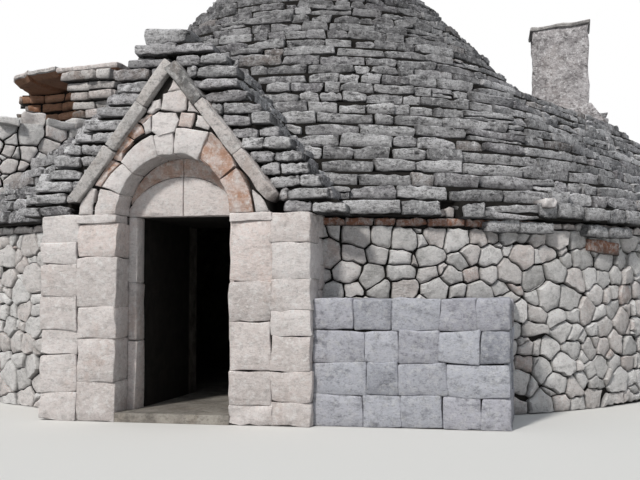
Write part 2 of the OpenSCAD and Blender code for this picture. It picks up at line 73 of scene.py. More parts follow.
ANNEX_SLAB_EDGE = [(-0.03, 0.21), (0.19, 0.03), (0.47, -0.08), (0.68, -0.09)]
TERRACE_L, TERRACE_H, TERRACE_T, TERRACE_SETBACK = 1.65, 1.08, 0.34, 0.10

# How far dressed stones stand proud of the construction, and are set into it
PROUD = 0.035
BED = 0.05

# Height of the row of thin stones that levels the wall under the eave
LEVELLING_H = 0.085

# Gap on each side of a dressed block, and how far behind its front a stone starts to get painted joint shade
JOINT, FRONT_EDGE = 0.003, 0.012

# The photograph's camera: place, turn and tilt, and in pixels its focal length, middle and horizon
CAMERA, CAMERA_TURN, CAMERA_TILT = (2.80, -13.17, 1.11), math.radians(12), math.radians(3.15)
FOCAL_PX, MIDDLE_PX, HORIZON_PX = 1000, 320, 295

# The gable's corners were read on a part of the photograph: its first pixel and enlargement
READ_FROM, READ_ZOOM = (60, 40), 6.533

# Inside these distances from the two axes a face that looks inwards is indoors
ROOM_REACH, ALCOVE_REACH = 3.3, 1.45

SEED = 41
UP, RIGHT, FRONT = np.array([0.0, 0.0, 1.0]), np.array([1.0, 0.0, 0.0]), np.array([0.0, -1.0, 0.0])


def level(k):
    """Height of the underside of a roof course."""
    t = k / ROOF_COURSES
    return round(EAVE_Z + ROOF_RISE * (t + COURSE_TAPER * t * (1 - t)), 3)


def cone_r(base, swell, u):
    if u >= 1:
        return 0.0
    return base * ((1 - u) + swell * u ** 3 * math.sqrt(1 - u))


def roof_r(z):
    return cone_r(EAVE_R, ROOF_SWELL, (z - EAVE_Z) / ROOF_RISE)


def alcove_roof_r(z):
    return cone_r(ALCOVE_EAVE_R, ALCOVE_SWELL, (z - EAVE_Z) / ALCOVE_RISE)


CHIMNEY_SEAT = sum(alcove_roof_r(level(k)) > CHIMNEY_SEAT_R for k in range(ROOF_COURSES))


def circle(steps):
    a = np.linspace(0, 2 * math.pi, steps, endpoint=False)
    return np.stack([np.cos(a), np.sin(a)], 1)


def towards(angle):
    return np.array([math.cos(angle), math.sin(angle)])


def wrap(main_r, side_r, way=1.0):
    """Closed outline round a circle on the main axis and one on the way to the alcove."""
    u = circle(720)
    side = ALCOVE * way + side_r * u
    on_side = (u @ (ALCOVE * way) + side_r) > main_r
    return np.where(on_side[:, None], side, main_r * u)


def roof_outline(z):
    above = z - level(CHIMNEY_SEAT)
    way = 1.0 if above < -1e-6 else max(0.0, SADDLE_START - above * SADDLE_RUN / np.linalg.norm(ALCOVE))
    return wrap(roof_r(z), max(alcove_roof_r(z), SADDLE_R), way)


class Path:
    """A closed outline that gives a point and an outward direction at a length."""

    def __init__(self, points):
        closed = np.vstack([points, points[:1]])
        run = np.linalg.norm(np.diff(closed, axis=0), axis=1)
        keep = np.concatenate([run > 1e-6, [True]])
        closed = closed[keep]
        run = np.linalg.norm(np.diff(closed, axis=0), axis=1)
        self.points = closed
        self.at = np.concatenate([[0], np.cumsum(run)])
        self.length = self.at[-1]

    def point(self, s):
        s = np.mod(s, self.length)
        return np.array([np.interp(s, self.at, self.points[:, i]) for i in (0, 1)])

    def out(self, s, reach):
        d = self.point(s + reach) - self.point(s - reach)
        d = d / max(np.linalg.norm(d), 1e-9)
        return np.array([d[1], -d[0]])

    def length_at(self, angle):
        """Length along the outline at a direction from the main axis."""
        a = np.arctan2(self.points[:-1, 1], self.points[:-1, 0])
        return self.at[np.argmin(np.abs(np.angle(np.exp(1j * (a - angle)))))]


class Pile:
    """Many stones gathered into one mesh, with a tone for each vertex."""

    def __init__(self):
        self.verts, self.faces, self.tones, self.count = [], [], [], 0

    def add(self, verts, faces, tone, depth=None):
        """Tone holds shade, hue and rust. Depth is the painted shade, 1 where a stone lies far back in its
        joint.
        """
        verts[:, 2] = np.maximum(verts[:, 2], 0.0)
        self.verts.append(verts)
        self.faces.extend([[i + self.count for i in f] for f in faces])
        rgba = np.ones((len(verts), 4))
        rgba[:, :3] = tone
        rgba[:, 3] = 1 if depth is None else 1 - depth
        self.tones.append(rgba)
        self.count += len(verts)

    def lay(self, stone, centre, along, up, out, tone, front=None):
        """Set a block in its place. Where its front is given, painted shade darkens it behind its front."""
        points, faces = stone
        depth = None if front is None else shade_in_joint(points, front - FRONT_EDGE)
        self.add(place(points, centre, along, up, out), faces, tone, depth)

    def build(self, name, slot, material, nodes=(), sharp=38):
        mesh = bpy.data.meshes.new(name)
        mesh.from_pydata(np.vstack(self.verts).tolist(), [], self.faces)
        tone = mesh.attributes.new("tone", "FLOAT_COLOR", "POINT")
        tone.data.foreach_set("color", np.vstack(self.tones).astype(np.float32).ravel())
        mesh.polygons.foreach_set("use_smooth", [True] * len(mesh.polygons))
        mesh.set_sharp_from_angle(angle=math.radians(sharp))
        mesh.materials.append(material)
        mesh.update()
        piece = bpy.data.objects.new(name, mesh)
        bpy.context.scene.collection.objects.link(piece)
        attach(piece, "root")
        if nodes:
            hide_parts(*nodes)
        return piece


def block_template(us, vs, ws, open_back):
    """Surface grid of a block: index triples of its vertices and its faces."""
    index, triples, faces = {}, [], []

    def vertex(t):
        if t not in index:
            index[t] = len(triples)
            triples.append(t)
        return index[t]

    sizes = (us, vs, ws)
    for axis in range(3):
        b, c = (axis + 1) % 3, (axis + 2) % 3
        for end in (0, sizes[axis] - 1):
            if open_back and axis == 2 and end == 0:
                continue
            for i in range(sizes[b] - 1):
                for j in range(sizes[c] - 1):
                    quad = []
                    for di, dj in ((0, 0), (1, 0), (1, 1), (0, 1)):
                        t = [0, 0, 0]
                        t[axis], t[b], t[c] = end, i + di, j + dj
                        quad.append(vertex(tuple(t)))
                    faces.append(quad if end else quad[::-1])
    return np.array(triples), faces


ROOF_BLOCK = block_template(10, 5, 4, True)
FULL_BLOCK = block_template(7, 6, 5, False)
SLAB_BLOCK = block_template(12, 16, 4, False)


def axis_marks(count, half, bevel):
    """Places of the grid lines along one side of a block."""
    bevel = min(bevel, half * 0.4)
    inner = np.linspace(-(half - bevel), half - bevel, count - 2)
    return np.concatenate([[-half], inner, [half]])


def waves(rng, p, size, length):
    """Smooth random shifts of points, in a few directions and wavelengths."""
    total = np.zeros(p.shape)
    for share in (1.0, 0.6, 0.45):
        k = rng.normal(size=(3, 3)) * (2.6 / (length * share))
        total += np.sin(p @ k + rng.random(3) * 6.28) * share
    return total * size


def block(rng, half, bevel, ragged, template, rough=0.005, taper=0.0, wave=0.16):
    """A worn block about its own centre: x along it, y up and z outward."""
    triples, faces = template
    half = np.array(half)
    p = np.zeros((len(triples), 3))
    ends = np.zeros((len(triples), 3))
    for axis in range(3):
        count = triples[:, axis].max() + 1
        marks = axis_marks(count, half[axis], bevel)
        p[:, axis] = marks[triples[:, axis]]
        ends[:, axis] = np.where(triples[:, axis] == 0, -1, np.where(triples[:, axis] == count - 1, 1, 0))
    if template is ROOF_BLOCK:
        ends[:, 2] = np.maximum(ends[:, 2], 0)
    edges = np.abs(ends).sum(1)
    pull = np.where(edges == 3, 0.55, np.where(edges == 2, 0.30, 0.0)) * min(bevel, half.min() * 0.9)
    p -= ends * pull[:, None]
    unit = p / half
    # Worn ends are thinner than the middle, each end and side by its own amount
    worn = (taper * rng.random((2, 2)) ** 1.5)[(unit[:, 0] > 0).astype(int), (unit[:, 1] > 0).astype(int)]
    p[:, 1] *= 1 - worn * np.abs(unit[:, 0]) ** 2.5
    corner = (rng.random((2, 2, 2, 3)) - 0.5) * 2 * np.array(ragged)
    w = np.stack([(1 - unit) / 2, (1 + unit) / 2], 1)
    shift = np.einsum("na,nb,nc,abcd->nd", w[:, :, 0], w[:, :, 1], w[:, :, 2], corner)
    q = p + shift + waves(rng, p, rough, wave) + (rng.random(p.shape) - 0.5) * rough * 0.7
    return q, faces


def shade_in_joint(q, front, reach=0.05):
    """Painted shade of each point of a block: 0 on the face, up to 1 back in its joints, on its lower half
    and at its ends.
    """
    far = np.abs(q).max(0)
    under = np.clip((-q[:, 1] / far[1] - 0.5) / 0.35, 0, 1)
    ends = 0.7 * np.clip((np.abs(q[:, 0]) / far[0] - 0.88) / 0.1, 0, 1)
    return np.maximum(np.clip((front - q[:, 2]) / reach, 0, 1), np.maximum(under, ends))


def place(p, centre, along, up, out):
    return centre + p[:, :1] * along + p[:, 1:2] * up + p[:, 2:] * out


def tone_of(rng, warm=0.0, rust=0.0, shade=0.5, spread=0.2):
    """Brightness, hue and rust of one stone, each from 0 to 1."""
    return np.array([
        np.clip(rng.normal(shade, spread), 0, 1),
        np.clip(rng.random() + warm, 0, 1),
        np.clip(rust + (0.4 if rng.random() < 0.03 else 0), 0, 1)
    ])


def vec3(p, z):
    return np.array([p[0], p[1], z])


def beside(d):
    """The level direction to the left of another."""
    return np.array([-d[1], d[0], 0.0])


def mirrored(side, a, b, middle=PORCH_X):
    """Left and right end of what lies between two distances from a middle, on one side of it."""
    return sorted((middle + side * a, middle + side * b))


def lengths(draw, start, end, rest, least):
    """Each stone's start and length along a stretch. The last one takes in a short rest."""
    while start < end - least:
        length = min(draw(start), end - start)
        if end - (start + length) < rest:
            length = end - start
        yield start, length
        start += length


def ring_mesh(rings, tip):
    """A skin over rings of points, closed at a tip."""
    n, last = len(rings[0]), (len(rings) - 1) * len(rings[0])
    faces = [[r * n + i, r * n + (i + 1) % n, (r + 1) * n + (i + 1) % n, (r + 1) * n + i]
             for r in range(len(rings) - 1) for i in range(n)]
    faces += [[last + i, last + (i + 1) % n, last + n] for i in range(n)]
    return np.vstack(rings + [[tip]]), faces


def split(a, b, most):
    """Points that cut a side into equal parts no longer than about the most."""
    parts = max(1, round(np.linalg.norm(b - a) / most))
    return [a + (b - a) * t / parts for t in range(parts)]


def wobble(rng, size):
    """A slow random wave along a course."""
    k, phase = rng.uniform(0.9, 4.5, 4), rng.random(4) * 6.28
    return lambda s: size * np.sin(s * k + phase).sum() / 2


def porch_level(k):
    return EAVE_Z + k * PORCH_COURSE_H


def porch_reach(k):
    return PORCH_RIDGE_HW + (PORCH_ROOF_HW - PORCH_RIDGE_HW) * (PORCH_COURSES - k) / PORCH_COURSES


def in_porch_roof(p, z, margin):
    """True inside the porch roof or its ridge stones, by more than a margin."""
    k = (z - EAVE_Z) / PORCH_COURSE_H
    if p[1] > 0 or k > PORCH_COURSES + 1:
        return False
    on_ridge = k > PORCH_COURSES - 1 and abs(p[0] - PORCH_X + RIDGE_SHIFT) < RIDGE_W / 2 - margin
    return on_ridge or abs(p[0] - PORCH_X) < porch_reach(min(k, PORCH_COURSES)) - margin


def annex_course_r(i):
    """Inner and outer radius of a course of the side room's vault."""
    return (ANNEX_INNER_R - (ANNEX_INNER_R - ANNEX_TOP_R) * (i + 1) / ANNEX_COURSES,
            ANNEX_R - i * ANNEX_BATTER)


def in_annex(p, z, margin):
    """True inside the side room's wall, vault or slabs, but not in the room they enclose."""
    d = np.array(p) - ANNEX
    inner, outer = ANNEX_INNER_R, ANNEX_R
    if z > ANNEX_WALL_Z:
        i = int((z - ANNEX_WALL_Z) / ANNEX_COURSE_H)
        if i > ANNEX_COURSES or not ANNEX_FROM - 0.1 < math.atan2(d[1], d[0]) < ANNEX_TO + 0.1:
            return False
        inner, outer = annex_course_r(i)
        if i == ANNEX_COURSES:
            # The slabs close the vault, so there is no room between them
            inner = -1.0
    return inner + margin < np.linalg.norm(d) < outer - margin


def behind_chimney(p, z, margin):
    """True where the chimney and what lies behind it take the roof's place."""
    d = np.array(p) - ALCOVE + np.array([CHIMNEY_W, CHIMNEY_D]) / 2
    return z > level(CHIMNEY_SEAT) - 0.01 and d[0] > margin and d[1] > margin


def roof_stone(pile, rng, path, s, length, z, height, tread, jut, tone, bevel=0.012, ragged=1.0,
               dim=0.0):
    """One stone of the roof, its middle at a length along an outline. Dim darkens all of it."""
    p = path.point(s)
    out = path.out(s, max(length / 2, 0.1))
    depth = tread + PROUD + BED
    half = (length / 2, height / 2, depth / 2)
    rags = np.array([0.020, 0.013, 0.020]) * ragged
    q, faces = block(rng, half, bevel, rags, ROOF_BLOCK, 0.0055, 0.40, 0.07)
    along = beside(out)
    tilt = (rng.random() - 0.5) * 0.09
    centre = vec3(p + out * (PROUD + jut - depth / 2), z + height / 2)
    verts = place(q, centre, along - UP * tilt, UP + along * tilt, vec3(out, 0.0))
    # Painted shade in its joints, on its lower half and at its ends
    pile.add(verts, faces, tone, np.maximum(shade_in_joint(q, depth / 2 - FRONT_EDGE), dim))


def roof_course(pile, k, rng):
    """The stones of one course of the main roof, laid round its outline."""
    z0, z1 = level(k), level(k + 1)
    path = Path(roof_outline(z0))
    inner_r = roof_r(z1) if k < ROOF_COURSES - 1 else 0.0
    tread = max(roof_r(z0) - inner_r, 0.06)
    mean = (0.47, 0.44, 0.42, 0.40)[k] if k < 4 else 0.38 if k < UPPER_COURSES else 0.31
    lift, push = wobble(rng, 0.010), wobble(rng, 0.012)
    dim = 0.35 * float(np.clip((k - 11) / 6, 0, 1))
    least = 0.84 if k < 5 else 0.77
    s = rng.random() * 0.3
    end = s + path.length
    if k == 0:
        s = path.length_at(MISSING_ANGLE) + MISSING_W / 2
        end = s + path.length - MISSING_W

    def draw(start):
        # Over the alcove the courses are laid with longer slabs
        wide = 1.35 if 3 <= k < 16 and path.point(start)[0] > 2.0 else 1.0
        return mean * wide * (0.45 + 1.1 * rng.random() ** 1.3)

    for start, length in lengths(draw, s, end, 0.16, 0.05):
        mid = start + length / 2
        p = path.point(mid)
        if in_porch_roof(p, z0, 0.06) or in_annex(p, z0, 0.08) or behind_chimney(p, z0, 0.05):
            continue
        height = (z1 - z0) * (least + (0.94 - least) * rng.random())
        z = z0 + lift(mid) + (z1 - z0 - height) * 0.6 * rng.random()
        jut = float(np.clip(push(mid) + rng.normal(0.004, 0.016), -0.012, 0.042))
        gap = 0.003 + 0.012 * rng.random() ** 2
        tone = tone_of(rng, shade=0.5 if k < 12 else 0.34 if k < UPPER_COURSES else 0.08, spread=0.28)
        if rng.random() < (0.05 if k < 2 else 0.10):
            part = height * (0.42 + 0.16 * rng.random())
            roof_stone(pile, rng, path, mid, length - 2 * gap, z, part - 0.004, tread, jut, tone, 0.010,
                       0.6, dim)
            roof_stone(pile, rng, path, mid, length - 2 * gap, z + part + 0.004, height - part, tread,
                       jut - 0.015 + 0.03 * rng.random(), tone_of(rng), 0.010, 0.6, dim)
        else:
            roof_stone(pile, rng, path, mid, length - 2 * gap, z, height, tread, jut, tone, dim=dim)


def main_roof(material):
    """Roof stones in bands of courses, over the construction's rings that carry them."""
    names = ("eave", "low", "mid", "high", "top")
    firsts = (0, 3, 7, 12, UPPER_COURSES, ROOF_COURSES)
    for n, name in enumerate(names):
        rng = np.random.default_rng(SEED + n)
        pile = Pile()
        for k in range(firsts[n], firsts[n + 1]):
            roof_course(pile, k, rng)
        pile.build("roof_stones_" + name, "roof_stone", material, sharp=26)


def eave_details(mats):
    """The odd stones at the roof's edge, and the row of thin stones that levels the wall under it."""
    rng = np.random.default_rng(SEED + 8)
    eave = Path(roof_outline(EAVE_Z))
    wall = Path(wrap(WALL_R, ALCOVE_WALL_R))

    def run(path, a0, a1, count, z, height, tones, jut, tread=0.1):
        s0, s1 = path.length_at(math.radians(a0)), path.length_at(math.radians(a1))
        cuts = s0 + (s1 - s0) * (np.arange(count + 1) + np.concatenate(
            [[0], (rng.random(count - 1) - 0.5) * 0.35, [0]])) / count
        for i in range(count):
            h = height * (0.85 + 0.15 * rng.random())
            roof_stone(pile, rng, path, (cuts[i] + cuts[i + 1]) / 2, cuts[i + 1] - cuts[i] - 0.012,
                       z, h, tread, jut, np.array(tones[i % len(tones)]), 0.012, 0.7)

    pile = Pile()
    run(eave, -58.6, -49.0, 2, 1.685, 0.125, [(0.45, 0.2, 0.0), (0.6, 0.4, 0.0)], -0.045)
    run(eave, -43.4, -34.2, 2, 1.675, 0.135, [(0.5, 0.3, 0.0), (0.4, 0.6, 0.0)], -0.045)
    pile.build("eave_lower_stones", "roof_stone", mats["roof"])
    pile = Pile()
    run(eave, -51.5, -49.6, 1, level(1) - 0.045, 0.105, [(1.0, 0.0, 0.0)], 0.05)
    pile.build("white_roof_stone", "gable_stone", mats["gable"])
    pile = Pile()
    run(eave, -64.1, -61.9, 2, EAVE_Z + 0.005, 0.085, [(0.8, 1.0, 0.3), (0.7, 0.9, 0.1)], -0.16, 0.06)
    for s, length in lengths(lambda s: 0.16 + 0.24 * rng.random(), 0.0, wall.length, 0.0, 0.1):
        middle = s + length / 2
        p = wall.point(middle)
        angle = math.degrees(math.atan2(p[1], p[0]))
        behind_porch = p[1] < 0 and abs(p[0] - PORCH_X) < PIER_HW - 0.08
        if behind_porch or in_annex(p, EAVE_Z - 0.05, 0.1):
            continue
        # The row is red beside the porch
        if -77 < angle < -52:
            tone = np.array([0.25 * rng.random(), 0.9, 1.2 + 0.8 * rng.random()])
        else:
            tone = tone_of(rng, 0.2, 0.1)
        roof_stone(pile, rng, wall, middle, length - 0.010, EAVE_Z - LEVELLING_H, LEVELLING_H - 0.014, 0.06,
                   0.01 * rng.random(), tone, 0.010, 0.45)
    run(wall, -42.6, -36.0, 1, 1.52, 0.14, [(0.1, 0.9, 1.6)], 0.03)
    pile.build("levelling_row", "wall_stone", mats["wall"])


def clip(poly, point, normal):
    """The part of a convex polygon on the side that the normal points away from."""
    out = []
    side = (poly - point) @ normal
    for i in range(len(poly)):
        j = (i + 1) % len(poly)
        if side[i] <= 0:
            out.append(poly[i])
        if (side[i] <= 0) != (side[j] <= 0):
            t = side[i] / (side[i] - side[j])
            out.append(poly[i] + t * (poly[j] - poly[i]))
    return np.array(out)


def cells_round(seeds, outline, aspect, sizes):
    """Irregular stones that fill a convex outline, one round each seed, larger where its size is."""
    stretch = np.array([1.0, aspect])
    weight = np.array(sizes) ** 2
    cells = []
    for i, seed in enumerate(seeds):
        d = ((seeds - seed) * stretch) ** 2
        power = d.sum(1) - weight
        poly = np.array(outline, dtype=float)
        for j in np.argsort(power)[:22]:
            if j == i:
                continue
            span = max(d[j].sum(), 1e-9)
            share = 0.5 + (weight[i] - weight[j]) / (2 * span)
            poly = clip(poly, seed + (seeds[j] - seed) * share, (seeds[j] - seed) * stretch ** 2)
            if len(poly) < 3:
                break
        if len(poly) >= 3:
            cells.append((seed, poly))
    return cells


def rubble_cells(rng, x0, x1, height, size, aspect=1.2):
    """Stones of mixed sizes that fill a rectangle, small ones wedged between large ones."""
    width = x1 - x0
    rows = max(1, round(height / (size / aspect)))
    seeds, sizes = [], []
    for r in range(rows):
        cols = max(1, round(width / (size * (0.85 + 0.3 * rng.random()))))
        start = rng.random()
        for c in range(cols):
            u = (c + (start + 0.5 * (rng.random() - 0.5)) % 1) / cols
            v = (r + 0.5 + 0.5 * (rng.random() - 0.5)) / rows
            seeds.append((x0 + u * width, v * height))
            sizes.append(size * (0.30 + 0.45 * rng.random()))
    for n in range(int(len(seeds) * 0.55)):
        seeds.append((x0 + rng.random() * width, rng.random() * height))
        sizes.append(size * (0.05 + 0.22 * rng.random()))
    return cells_round(np.array(seeds), [[x0, 0], [x1, 0], [x1, height], [x0, height]], aspect, sizes)


def bent(rng, size, spans=(0.33, 0.14, 0.07)):
    """A bending of the plane that turns straight joints into worn, crooked ones."""
    bends = [(rng.normal(size=2) * 2.2 / span, rng.random() * 6.28,
              rng.normal(size=2) * size * span / spans[0]) for span in spans for i in range(3)]
    return lambda points: points + sum(np.sin(points @ k + phase)[:, None] * a for k, phase, a in bends)


def rubble_stone(rng, poly, joint, bulge, proud, soft, bend=None):
    """A rounded stone on an outline: points (x, z, outward), faces, and depths of painted shade towards its
    bed.
    """
    poly = poly[::-1] if np.cross(poly[1] - poly[0], poly[2] - poly[1]) < 0 else poly
    points = []
    for i in range(len(poly)):
        a, b = poly[i], poly[(i + 1) % len(poly)]
        span = np.linalg.norm(b - a)
        if span < 0.012:
            continue
        parts = 1 + sum(span > longest for longest in (0.05, 0.10, 0.18))
        points += [a + (b - a) * t / parts for t in range(parts)]
    if len(points) < 3:
        return None
    points = np.array(points) if bend is None else bend(np.array(points))
    centre = points.mean(0)
    reach = np.linalg.norm(points - centre, axis=1)
    if reach.min() < 0.02:
        return None
    n = len(points)
    # Corners draw in more than the middles of the sides, so the outline is round
    mean = reach.mean()
    inset = joint / 2 + soft * np.maximum(reach - mean, 0) + 0.008 * rng.random(n)
    lean = rng.normal(size=2) * 0.09
    rings = []
    for shrink, height in ((0.0, -BED), (0.0, proud * 0.3), (0.004, proud * 0.85),
                           (0.014, proud + bulge * 0.4), (mean * 0.35, proud + bulge * 0.8),
                           (mean * 0.68, proud + bulge)):
        share = np.clip(1 - (inset + shrink) / reach, 0.08, 1)
        flat = centre + (points - centre) * share[:, None]
        h = np.full(n, height)
        if height > proud * 0.5:
            h += (rng.random(n) - 0.5) * 0.016 * share.mean() ** 1.5 + (flat - centre) @ lean
        rings.append(np.column_stack([flat, h]))
    verts, faces = ring_mesh(rings, [*centre, proud + bulge * (0.95 + 0.1 * rng.random())])
    # Painted shade darkens the stone behind its face, towards its bed
    return verts, faces, np.clip((proud * 0.9 - verts[:, 2]) / 0.05, 0, 1)


def rubble_wall(name, material, path, s0, s1, z1, skip, size, seed, proud=PROUD):
    """Rubble from the ground up, over a stretch of an upright wall that follows an outline."""
    rng = np.random.default_rng(seed)
    pile = Pile()
    bend = bent(rng, 0.011)
    for centre, poly in rubble_cells(rng, s0, s1, z1, size):
        if skip(path.point(centre[0]), centre[1]):
            continue
        made = rubble_stone(rng, poly, JOINT, 0.018 * rng.random(), proud + 0.026 * (rng.random() - 0.6),
                            0.34, bend)
        if made is None:
            continue
        flat, faces, depth = made
        flat[:, 1] = np.clip(flat[:, 1], 0.002, z1 - 0.002)
        verts = np.array([vec3(path.point(s) + path.out(s, 0.05) * h, z) for s, z, h in flat])
        pile.add(verts, faces, tone_of(rng, 0.0, 0.0, 0.6, 0.28), depth)
    pile.build(name, "wall_stone", material)


# Materials

class Nodes:
    """Short ways to add and link the shader nodes of a material or a world."""

    def __init__(self, owner):
        owner.use_nodes = True
        self.owner, self.tree, self.where = owner, owner.node_tree, None
        self.tree.nodes.clear()

    def feed(self, socket, value):
        """Set an input, or link it where the value is another node's output."""
        if isinstance(value, bpy.types.NodeSocket):
            self.tree.links.new(value, socket)
        else:
            socket.default_value = value

    def add(self, kind, inputs=(), **settings):
        n = self.tree.nodes.new(kind)
        for key, value in settings.items():
            setattr(n, key, value)
        for key, value in dict(inputs).items():
            self.feed(n.inputs[key], value)
        return n

    def place(self):
        """The point in the house's own frame."""
        if self.where is None:
            self.where = self.add("ShaderNodeTexCoord").outputs["Object"]
        return self.where

    def noise(self, scale, detail=4.0, rough=0.6, stretch=None):
        where = self.place()
        if stretch:
            where = self.add("ShaderNodeMapping", {"Scale": stretch, "Vector": where}).outputs["Vector"]
        inputs = {"Scale": scale, "Detail": detail, "Roughness": rough, "Vector": where}
        return self.add("ShaderNodeTexNoise", inputs).outputs["Fac"]

    def ramp(self, fac, low, high, to_low=0.0, to_high=1.0):
        """One value below low and another above high."""
        inputs = {"Value": fac, "From Min": low, "From Max": high, "To Min": to_low, "To Max": to_high}
        return self.add("ShaderNodeMapRange", inputs).outputs["Result"]

    def shade_by_facing(self, down, up):
        """Painted light and shade by the way a face looks: dark on undersides, bright on tops."""
        normal = self.add("ShaderNodeNewGeometry").outputs["Normal"]
        axes = self.add("ShaderNodeSeparateXYZ", {"Vector": normal})
        return self.ramp(axes.outputs["Z"], -1.0, 1.0, down, up)

    def maths(self, operation, *values):
        return self.add("ShaderNodeMath", enumerate(values), operation=operation).outputs[0]

    def vector(self, operation, *values):
        return self.add("ShaderNodeVectorMath", enumerate(values), operation=operation)

    def times(self, a, b):
        return self.maths("MULTIPLY", a, b)

    def mix(self, fac, a, b, blend="MIX"):
        n = self.add("ShaderNodeMix", data_type="RGBA", blend_type=blend)
        for value, socket in ((fac, n.inputs[0]), (a, n.inputs[6]), (b, n.inputs[7])):
            self.feed(socket, (*value, 1.0) if isinstance(value, tuple) else value)
        return n.outputs[2]

    def finish(self, colour, height, roughness, bump, distance=0.02):
        """Surface of a material, with a height in metres from a value times a distance."""
        relief = self.add("ShaderNodeBump", {"Strength": bump, "Distance": distance, "Height": height})
        inputs = {"Base Color": colour, "Normal": relief.outputs["Normal"], "Roughness": roughness,
                  "Specular IOR Level": 0.2}
        shader = self.add("ShaderNodeBsdfPrincipled", inputs)
        self.add("ShaderNodeOutputMaterial", {"Surface": shader.outputs["BSDF"]})
        return self.owner


def stone_material(name, dark, light, tint, rust, lichen, lichen_amount, grime, toned=True, stain=0.3,
                   rough=1.0, strata=1.5):
    """Weathered limestone. Each stone's own tone sets its shade, hue and rust."""
    n = Nodes(bpy.data.materials.new(name))
    # Dark grime colour, also used for the painted shade in the joints
    soot_and_shade = tuple(c * 0.16 for c in dark)
    if toned:
        attribute = n.add("ShaderNodeAttribute", attribute_name="tone")
        shade, hue, rusty = n.add("ShaderNodeSeparateColor", {"Color": attribute.outputs["Color"]}).outputs
        # Painted shade, from how far back in its joint each vertex lies
        painted_shade = n.ramp(attribute.outputs["Alpha"], 0.0, 1.0, 0.88, 0.0)
    else:
        shade = n.ramp(n.noise(4.0, 5.0, 0.65), 0.40, 0.60)
        hue = n.ramp(n.noise(1.3), 0.35, 0.65)
        rusty = n.times(n.ramp(n.noise(2.1, 3.0), 0.6, 0.8), 0.4)

    def veil(colour, over, amount, low, high, *noise):
        """Lay another colour over the first where a noise is high."""
        return n.mix(n.times(n.ramp(n.noise(*noise), low, high), amount), colour, over)

    colour = n.mix(shade, dark, light)
    colour = n.mix(n.times(n.ramp(hue, 0.55, 1.0), 0.6), colour, tint)
    colour = veil(colour, light, 0.45, 0.38, 0.66, 5.0, 6.0, 0.7)
    colour = veil(colour, soot_and_shade, grime, 0.50, 0.64, 9.0, 8.0, 0.75, (1, 1, strata))
    colour = veil(colour, rust, stain, 0.56, 0.70, 3.2, 6.0, 0.68, (1, 1, 0.7))
    blotch = n.ramp(n.noise(8.0, 6.0, 0.72), 0.42, 0.57, 0.22, 1.0)
    colour = n.mix(n.times(rusty, blotch), colour, rust)
    colour = veil(colour, soot_and_shade, 0.8 * grime, 0.54, 0.61, 24.0, 7.0, 0.78, (1, 1, strata * 1.3))
    colour = veil(colour, lichen, lichen_amount, 0.50, 0.61, 19.0, 9.0, 0.76)
    colour = veil(colour, soot_and_shade, 0.7 * grime, 0.53, 0.68, 60.0, 5.0, 0.7)
    if toned:
        # Painted shade: towards the dark grime colour in joints and under stones
        colour = n.mix(painted_shade, colour, soot_and_shade)
        # Painted light and shade: undersides at half brightness, tops half as bright again
        colour = n.mix(1.0, colour, n.shade_by_facing(0.50, 1.50), "MULTIPLY")
    coarse = n.noise(13.0, 10.0, 0.75, (1, 1, strata))
    fine = n.noise(70.0, 6.0, 0.75)
    return n.finish(colour, n.maths("MULTIPLY_ADD", fine, 0.4, coarse), 0.93, 1.0, 0.03 * rough)


def core_material():
    """The construction behind the stones: near black in the joints as painted shade, pale on open tops,
    mid-dark on faces that look inwards indoors.
    """
    n = Nodes(bpy.data.materials.new("joint_shade_core"))
    normal = n.add("ShaderNodeNewGeometry").outputs["Normal"]

    def inward(centre, reach):
        """1 on faces that look towards an upright axis and lie within reach of it."""
        away = n.vector("SUBTRACT", n.place(), (*centre, 0)).outputs[0]
        flat = n.vector("MULTIPLY", away, (1, 1, 0)).outputs[0]
        turned = n.vector("DOT_PRODUCT", flat, normal).outputs["Value"]
        length = n.vector("LENGTH", flat).outputs["Value"]
        return n.times(n.ramp(turned, 0.0, -0.1), n.ramp(length, reach, reach - 0.05))

    # Near black: painted shade in the joints and hollows behind the stones
    dark = n.mix(n.ramp(n.noise(9.0), 0.35, 0.65), (0.009, 0.008, 0.0075), (0.020, 0.018, 0.016))
    pale = n.mix(n.ramp(n.noise(14.0, 8.0, 0.75), 0.42, 0.60), (0.10, 0.098, 0.10), (0.46, 0.45, 0.46))
    indoor_tone = n.mix(n.ramp(n.noise(6.0, 8.0, 0.7), 0.38, 0.62), (0.07, 0.062, 0.055), (0.19, 0.175, 0.16))
    colour = n.mix(n.ramp(n.shade_by_facing(-1.0, 1.0), 0.6, 0.9), dark, pale)
    colour = n.mix(inward((0, 0), ROOM_REACH), colour, indoor_tone)
    colour = n.mix(inward(ALCOVE, ALCOVE_REACH), colour, indoor_tone)
    return n.finish(colour, n.noise(13.0, 10.0, 0.75), 0.95, 0.8)


